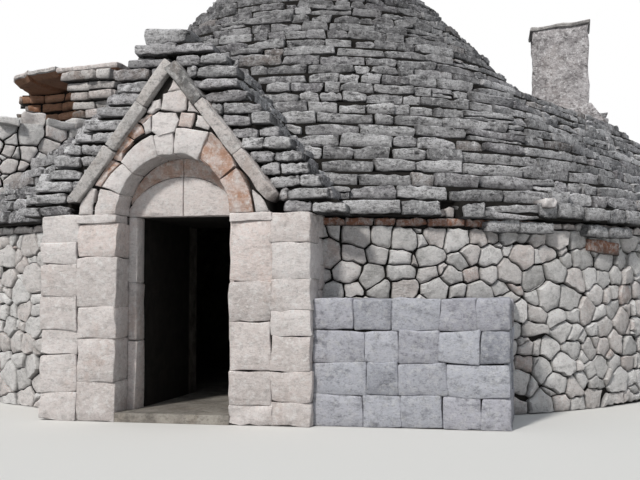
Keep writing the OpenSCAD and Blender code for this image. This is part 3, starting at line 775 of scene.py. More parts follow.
def make_materials():
    return {
        "roof": stone_material("roof_weathered", (0.19, 0.188, 0.196), (0.92, 0.91, 0.93),
                               (0.36, 0.34, 0.37), (0.34, 0.24, 0.18), (0.98, 0.97, 0.99), 0.66, 0.92,
                               stain=0.10, rough=2.0, strata=2.6),
        "wall": stone_material("wall_rubble", (0.64, 0.625, 0.615), (0.99, 0.97, 0.965),
                               (0.76, 0.64, 0.60), (0.42, 0.20, 0.13), (0.98, 0.965, 0.96), 0.55, 0.32,
                               stain=0.12, rough=2.2),
        "gable": stone_material("gable_pale", (0.64, 0.575, 0.555), (0.96, 0.905, 0.895),
                                (0.84, 0.69, 0.64), (0.50, 0.24, 0.13), (0.97, 0.955, 0.95), 0.52, 0.27,
                                stain=0.20, rough=1.5),
        "slab": stone_material("slab_grey", (0.15, 0.148, 0.150), (0.82, 0.785, 0.77),
                               (0.68, 0.58, 0.55), (0.36, 0.22, 0.14), (0.84, 0.825, 0.815), 0.55, 0.50,
                               rough=1.5),
        "rust": stone_material("rust_stone", (0.20, 0.09, 0.05), (0.74, 0.42, 0.27),
                               (0.60, 0.38, 0.27), (0.50, 0.18, 0.08), (0.66, 0.56, 0.50), 0.20, 0.30),
        "plaster": stone_material("chimney_render", (0.28, 0.26, 0.265), (0.66, 0.625, 0.64),
                                  (0.42, 0.37, 0.36), (0.38, 0.30, 0.25), (0.88, 0.86, 0.875), 0.85, 0.75,
                                  toned=False, stain=0.15, rough=1.5),
        "block": stone_material("terrace_block", (0.27, 0.28, 0.32), (0.56, 0.57, 0.63),
                                (0.40, 0.38, 0.43), (0.36, 0.28, 0.24), (0.62, 0.62, 0.63), 0.45, 0.45,
                                stain=0.12),
        "core": core_material(),
        "floor": stone_material("floor_paving", (0.22, 0.20, 0.18), (0.42, 0.39, 0.35),
                                (0.36, 0.32, 0.28), (0.34, 0.24, 0.16), (0.46, 0.44, 0.40), 0.20, 0.40,
                                toned=False),
    }


def dress_frame(mats):
    """Every CAD node that stays visible gets a procedural material."""
    finish = {"floor_slab": "floor", "threshold_stone": "floor", "chimney_skirt": "plaster"}
    for name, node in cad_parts.items():
        node.data.materials.clear()
        # Nodes without a finish of their own take the core, near black as painted shade
        node.data.materials.append(mats[finish.get(name, "core")])


def main_walls(mats):
    """Rubble on the outside of the main wall, left out where porch, terrace and side room cover it."""
    path = Path(wrap(WALL_R, ALCOVE_WALL_R))
    terrace_x = (PORCH_X + PIER_HW, PORCH_X + PIER_HW + TERRACE_L)

    def skip(p, z):
        behind_porch = p[1] < 0 and abs(p[0] - PORCH_X) < PIER_HW - 0.16
        behind_terrace = p[1] < 0 and terrace_x[0] < p[0] < terrace_x[1] - 0.16 and z < TERRACE_H - 0.22
        return behind_porch or behind_terrace or in_annex(p, z, 0.1)

    half, top = path.length / 2, EAVE_Z - LEVELLING_H
    rubble_wall("wall_rubble_a", mats["wall"], path, 0, half, top, skip, 0.215, SEED + 10)
    rubble_wall("wall_rubble_b", mats["wall"], path, half, path.length, top, skip, 0.215, SEED + 11)


def inside_house(p, z):
    return np.linalg.norm(p) < (WALL_R if z < EAVE_Z else roof_r(z)) - 0.02


def annex_vault_stones(mats):
    """Both faces of the standing vault and the broken ends of its courses."""
    rng = np.random.default_rng(SEED + 22)
    inside, outside = Pile(), Pile()
    step_r = (ANNEX_INNER_R - ANNEX_TOP_R) / ANNEX_COURSES
    for i in range(ANNEX_COURSES):
        z = ANNEX_WALL_Z + i * ANNEX_COURSE_H
        tooth = ANNEX_TOOTH if i % 2 == 0 else 0.0
        a0, a1 = ANNEX_FROM - tooth, ANNEX_TO + tooth
        inner, outer = annex_course_r(i)
        for pile, r, sign, tread in ((outside, outer, 1, ANNEX_BATTER), (inside, inner, -1, step_r)):
            for a, step in lengths(lambda a: (0.22 + 0.24 * rng.random()) / r, a0, a1, 0.12 / r, 0.02):
                p = ANNEX + r * towards(a + step / 2)
                if inside_house(p, z):
                    continue
                out = towards(a + step / 2) * sign
                height = ANNEX_COURSE_H * (0.78 + 0.2 * rng.random())
                depth = tread + 0.16
                half = (step * r / 2 - 0.006, height / 2, depth / 2)
                stone = block(rng, half, 0.014, (0.016, 0.012, 0.02), ROOF_BLOCK)
                front = PROUD * 0.7 + 0.03 * (rng.random() - 0.3)
                tone = tone_of(rng, 0.2, 0.0, 0.5, 0.3) if sign < 0 else tone_of(rng)
                pile.lay(stone, vec3(p + out * (front - depth / 2), z + height / 2), beside(out), UP,
                         vec3(out, 0.0), tone, depth / 2)
        for a, sign in ((a0, -1), (a1, 1)):
            d = towards(a)
            out = beside(d)[:2] * sign
            for r, length in lengths(lambda r: 0.16 + 0.2 * rng.random(), inner - 0.02, outer + 0.03,
                                     0.13, 0.03):
                p = ANNEX + d * (r + length / 2)
                if inside_house(p, z):
                    continue
                height = ANNEX_COURSE_H * (0.75 + 0.22 * rng.random())
                depth = 0.2 + 0.12 * rng.random()
                half = (length / 2 - 0.005, height / 2, depth / 2)
                stone = block(rng, half, 0.014, (0.02, 0.014, 0.03), ROOF_BLOCK)
                centre = vec3(p + out * (0.05 - depth / 2 + 0.08 * rng.random()), z + height / 2)
                # The ends near the room are rusty, as on its other side
                rusty = r + length < inner + 0.24
                tone = tone_of(rng, 0.2, 0.75, 0.2) if rusty else tone_of(rng, 0.1, 0.05, 0.6)
                outside.lay(stone, centre, beside(out), UP, vec3(out, 0.0), tone, depth / 2)
    inside.build("side_room_vault_lining", "rust_stone", mats["rust"])
    outside.build("side_room_vault_stones", "rust_stone", mats["slab"])


def annex_slabs(mats):
    """Broad flat slabs that close the standing vault, brown below."""
    rng = np.random.default_rng(SEED + 23)
    pile, soffit = Pile(), Pile()
    r = ANNEX_R - ANNEX_COURSES * ANNEX_BATTER + ANNEX_SLAB_OVER
    low, high = ANNEX_FROM - ANNEX_TOOTH, ANNEX_TO + ANNEX_TOOTH
    cuts = low + (high - low) * np.array([0.0, 0.36, 0.66, 1.0])
    edge, inner = [np.array(e) for e in ANNEX_SLAB_EDGE], [np.array([0.44, 0.32]), np.array([0.20, 0.40])]
    outlines = [[inner[0], edge[2], edge[3]], [inner[1], edge[1], edge[2], inner[0]],
                [edge[0], edge[1], inner[1]]]
    z = ANNEX_WALL_Z + ANNEX_COURSES * ANNEX_COURSE_H
    for n, corners in enumerate(outlines):
        arc = [towards(a) for a in np.linspace(cuts[n], cuts[n + 1], 6)]
        if n == 2:
            corners = [inner[1]] + arc + [edge[0], edge[1]]
        else:
            corners = corners + arc
        points = []
        for a, b in zip(corners, corners[1:] + corners[:1]):
            points += split(a, b, 0.09 / r)
        points = np.array(points) * r
        points += (rng.random(points.shape) - 0.5) * 0.03
        centre = points.mean(0)
        count = len(points)
        thick = ANNEX_SLAB_T + (0.0, 0.025, 0.035)[n]
        away = points - centre
        reach = np.maximum(np.linalg.norm(away, axis=1), 0.05)
        rings = []
        for shrink, h in ((0.12, 0.0), (0.02, thick - 0.065), (0.0, thick - 0.05), (0.0, thick - 0.012),
                          (0.014, thick), (0.3, thick + 0.006)):
            flat = centre + away * (1 - shrink / reach)[:, None]
            jig = (rng.random(count) - 0.5) * 0.010
            rings.append(np.column_stack([flat, z + np.clip(h + jig, 0.001, thick + 0.01)]))
        verts, faces = ring_mesh(rings, [*centre, z + thick + 0.006])
        verts[:, :2] += ANNEX
        # The underside and the undercut edge above it are brown
        pile.add(verts[count:], [[i - count for i in f] for f in faces[count:]],
                 tone_of(rng, 0.2, 0.0, 0.8, 0.1))
        soffit.add(verts[:2 * count], faces[:count], tone_of(rng, 0.2, 0.0, 0.6, 0.1))
        under = np.vstack([verts[:count], [[*(centre + ANNEX), z + 0.002]]])
        soffit.add(under, [[(i + 1) % count, i, count] for i in range(count)],
                   tone_of(rng, 0.2, 0.0, 0.6, 0.1))
    pile.build("side_room_slabs", "slab_stone", mats["slab"], ["annex_roof_slabs"])
    soffit.build("side_room_slab_soffit", "rust_stone", mats["rust"])


def annex(mats):
    """The side room: rubble on both sides of its wall, loose stones on the broken top, vault and slabs."""
    path = Path(ANNEX + ANNEX_R * circle(360))
    rubble_wall("side_room_rubble", mats["wall"], path, 0, path.length, ANNEX_WALL_Z, inside_house, 0.235,
                SEED + 20)
    inner = Path((ANNEX + ANNEX_INNER_R * circle(360))[::-1])
    rubble_wall("side_room_lining", mats["wall"], inner, 0, inner.length, ANNEX_WALL_Z, inside_house, 0.25,
                SEED + 21, proud=0.02)
    rng = np.random.default_rng(SEED + 24)
    pile = Pile()
    a = ANNEX_TO
    while a < 2 * math.pi + ANNEX_FROM:
        r = ANNEX_INNER_R
        step = (0.26 + 0.2 * rng.random()) / ANNEX_R
        while r < ANNEX_R - 0.05:
            width = 0.2 + 0.14 * rng.random()
            d = towards(a + step / 2)
            p = ANNEX + (r + width / 2) * d
            height = 0.04 + 0.10 * rng.random()
            if not inside_house(p, ANNEX_WALL_Z) and rng.random() < 0.85:
                stone = block(rng, (step * r / 2, height / 2 + 0.02, width / 2), 0.02, (0.03, 0.016, 0.03),
                              FULL_BLOCK, 0.008)
                pile.lay(stone, vec3(p, ANNEX_WALL_Z + height / 2 - 0.02), beside(d), UP, vec3(d, 0.0),
                         tone_of(rng, 0.0, 0.0, 0.6, 0.25))
            r += width
        a += step
    pile.build("side_room_wall_top", "wall_stone", mats["wall"])
    annex_vault_stones(mats)
    annex_slabs(mats)


def upright_point(x, z, y):
    """A point on the porch front, x from its centre and z from the eave."""
    return np.array([PORCH_X + x, y, EAVE_Z + z])


# Stones of the arch, from the right, as measured on the photograph: the angles of each one's joints,
# and its outer radius at both
ARCH_STONES = [(0, 34, 0.743, 0.695), (34, 64, 0.71, 0.784), (64, 89, 0.786, 0.741), (89, 105, 0.741, 0.712),
               (105, 136, 0.728, 0.672), (136, 160, 0.655, 0.705), (160, 180, 0.705, 0.73)]


def voussoirs(mats):
    """The arch ring: worn wedges of unequal widths and heights."""
    rng = np.random.default_rng(SEED + 30)
    pile = Pile()
    tones = [(0.40, 0.9, 0.80), (0.20, 0.9, 0.75), (0.85, 0.2, 0.0), (0.8, 0.5, 0.0),
             (0.75, 0.6, 0.0), (0.85, 0.3, 0.0), (0.8, 0.4, 0.1)]
    mid_r = NICHE_R + VOUSSOIR_H / 2
    for i, (a0, a1, top0, top1) in enumerate(ARCH_STONES):
        a0, a1 = math.radians(a0) + 0.005, math.radians(a1) - 0.005
        half = ((a1 - a0) / 2 * mid_r, VOUSSOIR_H / 2, NICHE_D / 2 + 0.016)
        q, faces = block(rng, half, 0.010, (0.005, 0.006, 0.008), FULL_BLOCK, 0.005)
        if i == 1:
            # The eroded stone at the right has small holes in its face
            hole = rng.random(len(q)) < 0.35
            q[:, 2] -= np.where(hole & (q[:, 2] > NICHE_D / 2 - 0.01), 0.02 + 0.02 * rng.random(len(q)), 0)
        a = (a0 + a1) / 2 - q[:, 0] / mid_r
        top = top0 + (top1 - top0) * np.clip((a - a0) / (a1 - a0), 0, 1)
        rise = (q[:, 1] + VOUSSOIR_H / 2) / VOUSSOIR_H
        r = np.maximum(NICHE_R + rise * (top - NICHE_R), NICHE_R - 0.006)
        verts = np.column_stack([
            PORCH_X + r * np.cos(a), PORCH_Y + NICHE_D / 2 - q[:, 2],
            np.maximum(EAVE_Z + r * np.sin(a), EAVE_Z + 0.001)
        ])
        pile.add(verts, faces, np.array(tones[i]))
    pile.build("arch_stones", "gable_stone", mats["gable"], ["arch_voussoirs"])


def gable_line(side):
    """Foot, point and outward normal of one slope of the gable."""
    foot = np.array([side * GABLE_HW, GABLE_FOOT])
    point = np.array([-GABLE_LEAN, GABLE_RISE])
    d = (point - foot) / np.linalg.norm(point - foot)
    return foot, point, np.array([d[1], -d[0]]) * side


def traced(*corners):
    """Outline on the porch front of corners read on the photograph, to the centimetre."""
    c, s = math.cos(CAMERA_TURN), math.sin(CAMERA_TURN)
    ahead = PORCH_Y - CAMERA[1]
    outline = []
    for column, row in corners:
        px, py = READ_FROM[0] + column / READ_ZOOM, READ_FROM[1] + row / READ_ZOOM
        slant = (px - MIDDLE_PX) / FOCAL_PX
        aside = ahead * (slant * c - s) / (c + slant * s)
        distance = ahead * c - aside * s
        height = CAMERA[2] + (HORIZON_PX - py) * distance / FOCAL_PX
        outline.append((round(aside + CAMERA[0] - PORCH_X, 2), round(height - EAVE_Z, 2)))
    return outline


# Stones of the gable: shade, hue and rust, and an outline. The one of the left foot is given
# in metres from the porch centre and the eave
GABLE_STONES = {
    "tip": ((0.8, 0.6, 0.05), traced((735, 235), (785, 315), (700, 325))),
    "top": ((0.85, 0.6, 0.0), traced((665, 345), (700, 325), (785, 318), (832, 370), (825, 448), (780, 465),
                                     (655, 452))),
    "upper left": ((0.7, 0.4, 0.0), traced((600, 395), (655, 375), (655, 445), (590, 482), (562, 470))),
    "left foot": ((0.7, 0.4, 0.1), [(-0.75, 0.0), (-0.74, 0.09), (-0.71, 0.23), (-0.75, 0.25), (-0.86, 0.10),
                                    (-0.88, 0.0)]),
    # Rusty brown, with the left edge stones' cast shadow painted in as low shade
    "upper brown": ((0.1, 0.9, 0.9), traced((560, 482), (602, 482), (590, 497), (535, 543), (500, 530))),
    "upper right": ((0.8, 0.5, 0.0), traced((838, 375), (905, 472), (832, 458))),
    "pale": ((0.9, 0.4, 0.0), traced((600, 485), (640, 466), (755, 470), (770, 520), (745, 592), (640, 628),
                                     (598, 590))),
    "orange": ((0.6, 1.0, 0.15), traced((785, 470), (883, 470), (875, 525), (850, 566), (765, 560))),
    "right": ((0.85, 0.4, 0.0), traced((897, 485), (945, 500), (978, 560), (965, 582), (880, 562))),
    "small left": ((0.85, 0.2, 0.0), traced((535, 545), (588, 492), (595, 592), (555, 608))),
    "right foot": ((0.85, 0.2, 0.0), traced((1255, 970), (1330, 1040), (1365, 1125), (1280, 1125),
                                            (1270, 1080))),
    # Rusty brown, with the left edge stones' cast shadow painted in as low shade
    "brown": ((0.1, 0.9, 1.0), traced((495, 535), (530, 548), (545, 602), (480, 645), (430, 620))),
    "long brown": ((0.1, 0.9, 1.0), traced((430, 622), (478, 648), (400, 740), (392, 790), (330, 770))),
    "low brown": ((0.15, 0.9, 1.0), traced((328, 775), (388, 800), (335, 860), (265, 960), (225, 950)))
}


def gable_infill(mats):
    """The stones between the arch and the gable's edge stones."""
    rng = np.random.default_rng(SEED + 31)
    pile = Pile()
    for tone, outline in GABLE_STONES.values():
        poly = np.array(outline)
        centre = poly.mean(0)
        away = poly - centre
        poly = centre + away * (1 + 0.006 / np.linalg.norm(away, axis=1))[:, None]
        # The rusty stones along the left slope lie deeper
        proud = (0.006 if tone[2] > 0.5 else 0.018) + 0.006 * rng.random()
        made = rubble_stone(rng, poly, 0.004, 0.004, proud, 0.05)
        if made is None:
            continue
        flat, faces, depth = made
        verts = np.array([upright_point(x, max(z, 0.002), PORCH_Y - h) for x, z, h in flat])
        pile.add(verts, faces, np.array(tone), depth)
    pile.build("gable_stones", "gable_stone", mats["gable"])


def rakes(mats):
    """The two rows of long edge stones on the gable."""
    rng = np.random.default_rng(SEED + 32)
    tones = {-1: [(0.75, 0.6, 0.05), (0.7, 0.5, 0.05), (0.75, 0.6, 0.1)],
             1: [(0.65, 1.0, 0.1), (0.9, 0.8, 0.05), (0.0, 0.2, 0.0)]}
    for side, name in ((-1, "left_rake_stones"), (1, "right_rake_stones")):
        pile = Pile()
        foot, point, normal = gable_line(side)
        run = np.linalg.norm(point - foot)
        slope = (point - foot) / run
        total = run + RAKE_T * (0.75 if side < 0 else 0.45)
        cuts = total * np.array([0, 0.38, 0.70, 1] if side < 0 else [0, 0.33, 0.72, 1])
        for i, (a, b) in enumerate(zip(cuts, cuts[1:])):
            mid = foot + slope * (a + b) / 2 + normal * RAKE_T / 2
            depth = NICHE_D + RAKE_PROUD
            half = ((b - a) / 2 - JOINT, RAKE_T / 2 * (0.95 + 0.1 * rng.random()), depth / 2)
            q, faces = block(rng, half, 0.010, (0.003, 0.008, 0.010), FULL_BLOCK, 0.004)
            if side > 0:
                faces = [f[::-1] for f in faces]
            centre = upright_point(*mid, PORCH_Y - RAKE_PROUD + depth / 2)
            along, up = np.array([slope[0], 0, slope[1]]), np.array([normal[0], 0, normal[1]])
            pile.lay((q, faces), centre, along, up, FRONT, np.array(tones[side][i]))
        pile.build(name + "_worn", "slab_stone", mats["slab"], [name])


def boxed(pile, rng, lo, hi, tone, bevel=0.014, ragged=(0.008, 0.008, 0.008), grow=0.004, rough=0.004,
          template=FULL_BLOCK):
    """A worn block that fills the space between two corners and faces the front."""
    lo, hi = np.array(lo) - grow, np.array(hi) + grow
    mid, half = (lo + hi) / 2, (hi - lo) / 2
    stone = block(rng, (half[0], half[2], half[1]), bevel, ragged, template, rough)
    pile.lay(stone, mid, RIGHT, UP, FRONT, tone)


def core(pile, rng, lo, hi):
    """A plain dark block: painted shade that shows only in the joints of the stones before it."""
    boxed(pile, rng, lo, hi, np.zeros(3), 0.01, (0, 0, 0), 0.0, 0.0)


def porch_front(mats):
    """Corner blocks, imposts, jambs and the recessed slabs of the porch."""
    rng = np.random.default_rng(SEED + 33)
    pile, shade_cores = Pile(), Pile()
    wall_y = PORCH_Y + 0.34
    corner_w, side_w = 0.35, 0.3
    stacks = {
        -1: ([0.25, 0.33, 0.22, 0.30, 0.28, 0.20, 0.24], [0.345, 0.38, 0.28, 0.44, 0.30]),
        1: ([0.20, 0.26, 0.30, 0.22, 0.27, 0.31, 0.26], [0.165, 0.30, 0.42, 0.34, 0.52])}
    heights = [0.27, 0.22, 0.25, 0.2, 0.26, 0.23, 0.26, 0.21]
    for side in (-1, 1):
        back = PORCH_Y + (0.62 if side > 0 else 0.78)
        columns = [(PIER_HW - corner_w, PIER_HW, PORCH_Y, wall_y, stacks[side][0], EAVE_Z),
                   (NICHE_R, PIER_HW - corner_w, PORCH_Y, wall_y, stacks[side][1], EAVE_Z - IMPOST_H),
                   (PIER_HW - side_w, PIER_HW, wall_y, back, heights, EAVE_Z),
                   (NICHE_R, PIER_HW - side_w, wall_y, back, heights, EAVE_Z)]
        for x0, x1, y0, y1, tall, top in columns:
            a, b = mirrored(side, x0, x1)
            z = 0.0
            for n, h in enumerate(np.array(tall) * top / np.sum(tall)):
                pink = 0.5 if x0 == NICHE_R and n == len(tall) - 1 else -0.3 if x1 == PIER_HW else 0.0
                boxed(pile, rng, (a + JOINT, y0 + JOINT, z + JOINT), (b - JOINT, y1, z + h - JOINT),
                      tone_of(rng, pink, 0.0, 0.6 if pink > 0 else 0.4, 0.22), 0.012, (0.010, 0.008, 0.010),
                      0.004, 0.006)
                z += h
        # Behind the impost the pier goes on up to the eave
        a, b = mirrored(side, NICHE_R + IMPOST_W, PIER_HW - corner_w + 0.002)
        if b - a > 0.02:
            boxed(pile, rng, (a, PORCH_Y + 0.004, EAVE_Z - IMPOST_H), (b, wall_y, EAVE_Z - JOINT),
                  tone_of(rng, 0.0, 0.0, 0.6, 0.1))
        a, b = mirrored(side, NICHE_R + 0.03, PIER_HW - 0.03)
        core(shade_cores, rng, (a, PORCH_Y + 0.03, 0.03), (b, back, EAVE_Z - 0.08))
    pile.build("porch_blocks", "gable_stone", mats["gable"], ["porch_left_pier", "porch_right_pier"])
    shade_cores.build("porch_shade_core", "gable_stone", mats["core"])

    pile = Pile()
    for side in (-1, 1):
        a, b = mirrored(side, NICHE_R, NICHE_R + IMPOST_W)
        boxed(pile, rng, (a, PORCH_Y - IMPOST_PROUD, EAVE_Z - IMPOST_H), (b, PORCH_Y + NICHE_D, EAVE_Z),
              tone_of(rng, 0.3, 0.0, 0.75, 0.1), 0.010, (0.006, 0.005, 0.004), 0.0)
    pile.build("impost_blocks", "gable_stone", mats["gable"], ["impost_stones"])

    pile = Pile()
    sag = TYMPANUM_H - TYMPANUM_SIDE
    chord = NICHE_R - 0.025
    big_r = (chord ** 2 + sag ** 2) / (2 * sag)

    def arc(r, x):
        return math.sqrt(max(r ** 2 - x ** 2, 0))

    for side in (-1, 1):
        xs = np.linspace(JOINT, chord + 0.02, 9)
        flat = [(x, 0.0) for x in xs]
        flat += [(x, min(TYMPANUM_H - big_r + arc(big_r, x), arc(NICHE_R, x))) for x in xs[::-1]]
        slab_face(pile, rng, [(side * x, z) for x, z in flat], np.array([0.8, 0.7, 0.0]))
    pile.build("recessed_slabs", "gable_stone", mats["gable"], ["tympanum_slabs"])

    pile = Pile()
    for side in (-1, 1):
        xs = np.linspace(JOINT, chord, 9)
        flat = [(x, TYMPANUM_H - big_r + arc(big_r, x) + 0.004) for x in xs]
        flat += [(x, arc(NICHE_R, x) - 0.002) for x in xs[::-1]]
        # Rusty brown, with the shade under the arch painted in as low shade
        slab_face(pile, rng, [(side * x, z) for x, z in flat], np.array([0.15, 0.8, 0.6]))
    pile.build("recessed_band", "gable_stone", mats["gable"], ["tympanum_band"])

    pile = Pile()
    for side in (-1, 1):
        a, b = mirrored(side, DOOR_HW, NICHE_R)
        z = 0.0
        for h in (0.7, 0.52, 0.6):
            boxed(pile, rng, (a, PORCH_Y + NICHE_D, z + 0.002), (b, PORCH_Y + NICHE_D + 0.2, z + h - 0.002),
                  tone_of(rng), 0.012, (0.003, 0.004, 0.004), 0.0)
            z += h
    pile.build("jamb_blocks", "gable_stone", mats["gable"], ["door_jambs"])


def slab_face(pile, rng, flat, tone, edge=0.006):
    """A thin recessed slab with a worn front, on an outline of (x, z) points."""
    flat = np.array(flat)
    centre = flat.mean(0)
    n = len(flat)
    y = PORCH_Y + NICHE_D
    reach = np.maximum(np.linalg.norm(flat - centre, axis=1), 0.01)
    rings = []
    for shrink, depth in ((0, TYMPANUM_T), (0, edge), (edge, 0.0), (0.05, -0.004)):
        share = np.clip(1 - shrink / reach, 0.1, 1)
        p = centre + (flat - centre) * share[:, None]
        jig = (rng.random(n) - 0.5) * (0.005 if depth < edge else 0)
        rings.append(np.array([upright_point(x, z, y + depth + j) for (x, z), j in zip(p, jig)]))
    verts, faces = ring_mesh(rings, upright_point(centre[0], centre[1], y - 0.005))
    faces.append(list(range(n))[::-1])
    if np.cross(flat[1] - flat[0], flat[n // 2] - flat[0]) <= 0:
        faces = [f[::-1] for f in faces]
    pile.add(verts, faces, tone)


def rake_outer_x(side, z):
    """Distance of the edge stones' outer line from the porch centre at a height."""
    foot, point, normal = gable_line(side)
    t = np.clip((z - foot[1]) / (point[1] - foot[1]), 0, 1.2)
    return max(0.0, side * (foot + (point - foot) * t)[0] + RAKE_T / abs(normal[0]))


def porch_roof(mats):
    """Course stones on the porch roof's front and its two slopes."""
    rng = np.random.default_rng(SEED + 34)
    pile = Pile()
    front_y = PORCH_Y + PORCH_ROOF_SETBACK
    front_depth = 0.24
    for k in range(PORCH_COURSES):
        z0 = porch_level(k)
        reach = porch_reach(k)
        tread = reach - porch_reach(k + 1)
        back_y = -math.sqrt(max(roof_r(z0) ** 2 - (abs(PORCH_X) + reach) ** 2, 0.5)) + 0.1
        for side in (-1, 1):
            lift = wobble(rng, 0.008)
            # Stones down the slope's edge, from the front back to the main roof
            y = front_y - 0.02
            depth = tread + PROUD + BED
            while y < back_y:
                length = 0.26 + 0.26 * rng.random()
                height = PORCH_COURSE_H * (0.76 + 0.20 * rng.random())
                half = (length / 2 - 0.008, height / 2, depth / 2)
                stone = block(rng, half, 0.014, (0.018, 0.010, 0.020), ROOF_BLOCK, 0.0055, 0.4, 0.07)
                x = PORCH_X + side * (reach + PROUD + (rng.random() - 0.4) * 0.05 - depth / 2)
                centre = np.array([x, y + length / 2, z0 + height / 2 + lift(y)])
                pile.lay(stone, centre, -side * FRONT, UP, side * RIGHT, tone_of(rng), depth / 2)
                y += length
            # Stones across the front, outside the gable's edge stones
            inner = rake_outer_x(side, z0 - EAVE_Z + 0.05) - 0.01
            over = 0.06 * rng.random() + (0.08 if k > PORCH_COURSES - 4 else 0.0)
            width = reach + PROUD + over - inner
            if width < 0.04:
                continue
            first = rng.choice([0.18, 0.40, 0.55]) + 0.08 * rng.random()
            cuts = inner + width * np.array([0, 1] if width < 0.42 else [0, first, 1])
            for x0, x1 in zip(cuts, cuts[1:]):
                height = PORCH_COURSE_H * (0.76 + 0.18 * rng.random())
                half = ((x1 - x0) / 2 - 0.006, height / 2, front_depth / 2)
                stone = block(rng, half, 0.014, (0.014, 0.008, 0.020), ROOF_BLOCK, 0.0055, 0.45, 0.07)
                y = front_y - PROUD + front_depth / 2 - 0.04 * rng.random()
                z = z0 + height / 2 + 0.010 * (rng.random() - 0.5)
                along = RIGHT + (rng.random() - 0.5) * 0.08 * UP
                pile.lay(stone, upright_point(side * (x0 + x1) / 2, z - EAVE_Z, y), along, UP, FRONT,
                         tone_of(rng, 0.45 if x0 == cuts[0] else 0.0, 0.0, 0.6, 0.25), front_depth / 2)
    pile.build("porch_roof_stones", "roof_stone", mats["roof"], sharp=26)

    pile = Pile()
    z0 = EAVE_Z + PORCH_COURSES * PORCH_COURSE_H
    y = front_y - RIDGE_OVER
    left = PORCH_X - RIDGE_SHIFT - RIDGE_W / 2
    while y < -roof_r(z0) + 0.05:
        length = RIDGE_L * (0.8 + 0.5 * rng.random())
        boxed(pile, rng, (left, y, z0), (left + RIDGE_W, y + length - 0.01, z0 + RIDGE_H), tone_of(rng),
              0.02, (0.04, 0.016, 0.02), 0.0, 0.008)
        y += length
    pile.build("porch_ridge_worn", "roof_stone", mats["roof"], ["porch_ridge_stones"])


def chimney(mats):
    """Rough plaster walls that leave the two smoke slots open, a cap slab, and stones about the foot."""
    rng = np.random.default_rng(SEED + 37)
    pile = Pile()
    x, y = ALCOVE
    hw, hd = CHIMNEY_W / 2, CHIMNEY_D / 2
    z0 = level(CHIMNEY_SEAT)
    slope = CHIMNEY_TILT / CHIMNEY_W

    def wall(lo, hi, top):
        n = len(pile.verts)
        boxed(pile, rng, (lo[0], lo[1], z0), (hi[0], hi[1], top), np.array([0.5, 0.3, 0.0]), 0.02,
              (0.012, 0.012, 0.010), 0.0, 0.009, SLAB_BLOCK)
        v = pile.verts[n]
        rise = np.clip((v[:, 2] - z0) / (top - z0), 0, 1)
        v[:, 2] += rise * slope * (v[:, 0] - x + hw)

    wall((x - hw, y - hd), (x + hw, y - hd + SLOT_PIER), CHIMNEY_Z)
    wall((x - hw, y + hd - SLOT_PIER), (x + hw, y + hd), CHIMNEY_Z)
    for side in (-1, 1):
        a, b = mirrored(side, hw - CHIMNEY_T, hw - 0.004, x)
        wall((a, y - hd + 0.02), (b, y + hd - 0.02), CHIMNEY_Z - SLOT_H)
    pile.build("chimney_plaster", "render_plaster", mats["plaster"], ["chimney_shaft"])

    pile = Pile()
    boxed(pile, rng, (x - hw - CHIMNEY_CAP_OVER, y - hd - CHIMNEY_CAP_OVER, CHIMNEY_Z),
          (x + hw + CHIMNEY_CAP_OVER, y + hd + CHIMNEY_CAP_OVER, CHIMNEY_Z + CHIMNEY_CAP_T),
          np.array([0.6, 0.3, 0.0]), 0.014, (0.02, 0.006, 0.02), 0.0, 0.006, SLAB_BLOCK)
    pile.verts[0][:, 2] += slope * (pile.verts[0][:, 0] - x + hw)
    pile.build("chimney_cap_worn", "slab_stone", mats["slab"], ["chimney_cap"])

    # Flat stones laid about the chimney's foot
    pile = Pile()
    for side_x, side_y, count, tall in ((1, 0, 3, 2), (0, 1, 4, 2), (0, -1, 3, 1)):
        for row in range(tall):
            for i in range(count):
                t = (i + 0.2 + 0.6 * rng.random()) / count * 2 - 1
                d = 0.09 + 0.04 * rng.random() - 0.01 * row
                c = np.array([x + side_x * (hw + d) + (1 - abs(side_x)) * t * hw,
                              y + side_y * (hd + d) + (1 - abs(side_y)) * t * hd,
                              z0 + (0.05 if side_x else -0.02) + 0.085 * row])
                size = np.array([0.12 + 0.03 * rng.random(), 0.13 + 0.04 * rng.random(), 0.036])
                boxed(pile, rng, c - size, c + size, tone_of(rng), 0.014, (0.03, 0.01, 0.03), 0.0, 0.006)
    pile.build("chimney_foot_stones", "roof_stone", mats["roof"])


def terrace(mats):
    """Squared blocks on the front and the right end of the retaining wall."""
    rng = np.random.default_rng(SEED + 35)
    pile, shade_cores = Pile(), Pile()
    x0, y0 = PORCH_X + PIER_HW, PORCH_Y + TERRACE_SETBACK
    x1 = x0 + TERRACE_L
    corner_y, back_y = y0 + TERRACE_T, -math.sqrt(WALL_R ** 2 - x1 ** 2)
    rows = 4
    h = TERRACE_H / rows

    def squared(r, xs, ys):
        z0, z1 = r * h + JOINT, (r + 1) * h - JOINT
        boxed(pile, rng, (xs[0], ys[0], z0), (xs[1], ys[1], z1), tone_of(rng), 0.016, (0.012, 0.014, 0.016))

    for r in range(rows):
        for x, length in lengths(lambda x: 0.26 + 0.2 * rng.random(), x0, x1, 0.14, 0.02):
            squared(r, (x + JOINT, x + length - JOINT), (y0, corner_y))
        y = corner_y
        while y < back_y:
            length = 0.26 + 0.15 * rng.random()
            squared(r, (x1 - TERRACE_T, x1), (y + JOINT, y + length - JOINT))
            y += length
    core(shade_cores, rng, (x0, y0 + 0.05, 0.0), (x1 - 0.05, corner_y - 0.02, TERRACE_H - 0.06))
    core(shade_cores, rng, (x1 - TERRACE_T + 0.03, corner_y - 0.02, 0.0), (x1 - 0.05, back_y, TERRACE_H - 0.06))
    pile.build("terrace_blocks", "block_stone", mats["block"], ["terrace_wall"])
    shade_cores.build("terrace_shade_core", "block_stone", mats["core"])


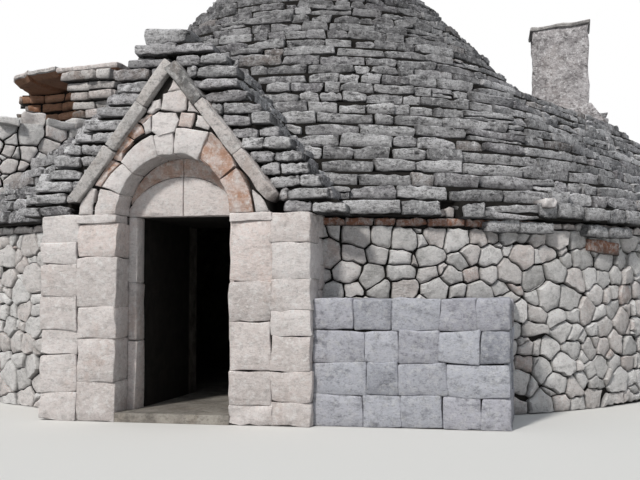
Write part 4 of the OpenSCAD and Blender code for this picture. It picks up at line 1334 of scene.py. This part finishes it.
def worn_cap(mats):
    rng = np.random.default_rng(SEED + 36)
    lo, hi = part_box("cap_stone")
    pile = Pile()
    boxed(pile, rng, lo, hi, tone_of(rng), 0.04, (0.03, 0.03, 0.01), -0.01)
    pile.build("cap_stone_worn", "roof_stone", mats["roof"], ["cap_stone"])


def staging():
    """Pale floor, white backdrop, soft light and the camera of the photograph."""
    bpy.ops.mesh.primitive_plane_add(size=120, location=(0, 0, -0.002))
    floor = bpy.context.object
    floor.name = "studio_floor"
    look = Nodes(bpy.data.materials.new("studio_floor"))
    diffuse = look.add("ShaderNodeBsdfDiffuse", {"Color": (0.82, 0.81, 0.79, 1)})
    look.add("ShaderNodeOutputMaterial", {"Surface": diffuse.outputs[0]})
    floor.data.materials.append(look.owner)

    # The camera sees white, and the house is lit by a soft sky
    world = bpy.data.worlds.new("studio")
    bpy.context.scene.world = world
    n = Nodes(world)
    rays = n.add("ShaderNodeLightPath").outputs
    soft = n.add("ShaderNodeBackground", {"Color": (0.86, 0.93, 1.0, 1), "Strength": 0.42})
    white = n.add("ShaderNodeBackground", {"Color": (1, 1, 1, 1)})
    turned = n.maths("MAXIMUM", rays["Is Glossy Ray"], rays["Is Transmission Ray"])
    seen = n.maths("MAXIMUM", rays["Is Camera Ray"], turned)
    mix = n.add("ShaderNodeMixShader", {"Fac": seen, 1: soft.outputs[0], 2: white.outputs[0]})
    n.add("ShaderNodeOutputWorld", {"Surface": mix.outputs[0]})

    sun = bpy.data.lights.new("key", "SUN")
    sun.energy = 2.6
    sun.angle = math.radians(6)
    sun.color = (1.0, 0.97, 0.92)
    key = bpy.data.objects.new("key", sun)
    key.rotation_euler = (math.radians(55), 0, math.radians(-17))
    bpy.context.scene.collection.objects.link(key)

    camera = bpy.data.cameras.new("camera")
    camera.sensor_width = 36
    camera.lens = 56.25
    view = bpy.data.objects.new("camera", camera)
    view.location = CAMERA
    view.rotation_euler = (math.radians(90) + CAMERA_TILT, 0, CAMERA_TURN)
    bpy.context.scene.collection.objects.link(view)
    bpy.context.scene.camera = view
    bpy.context.scene.view_settings.view_transform = "Standard"


def main():
    mats = make_materials()
    dress_frame(mats)
    main_roof(mats["roof"])
    eave_details(mats)
    main_walls(mats)
    annex(mats)
    voussoirs(mats)
    gable_infill(mats)
    rakes(mats)
    porch_front(mats)
    porch_roof(mats)
    chimney(mats)
    terrace(mats)
    worn_cap(mats)
    staging()


main()
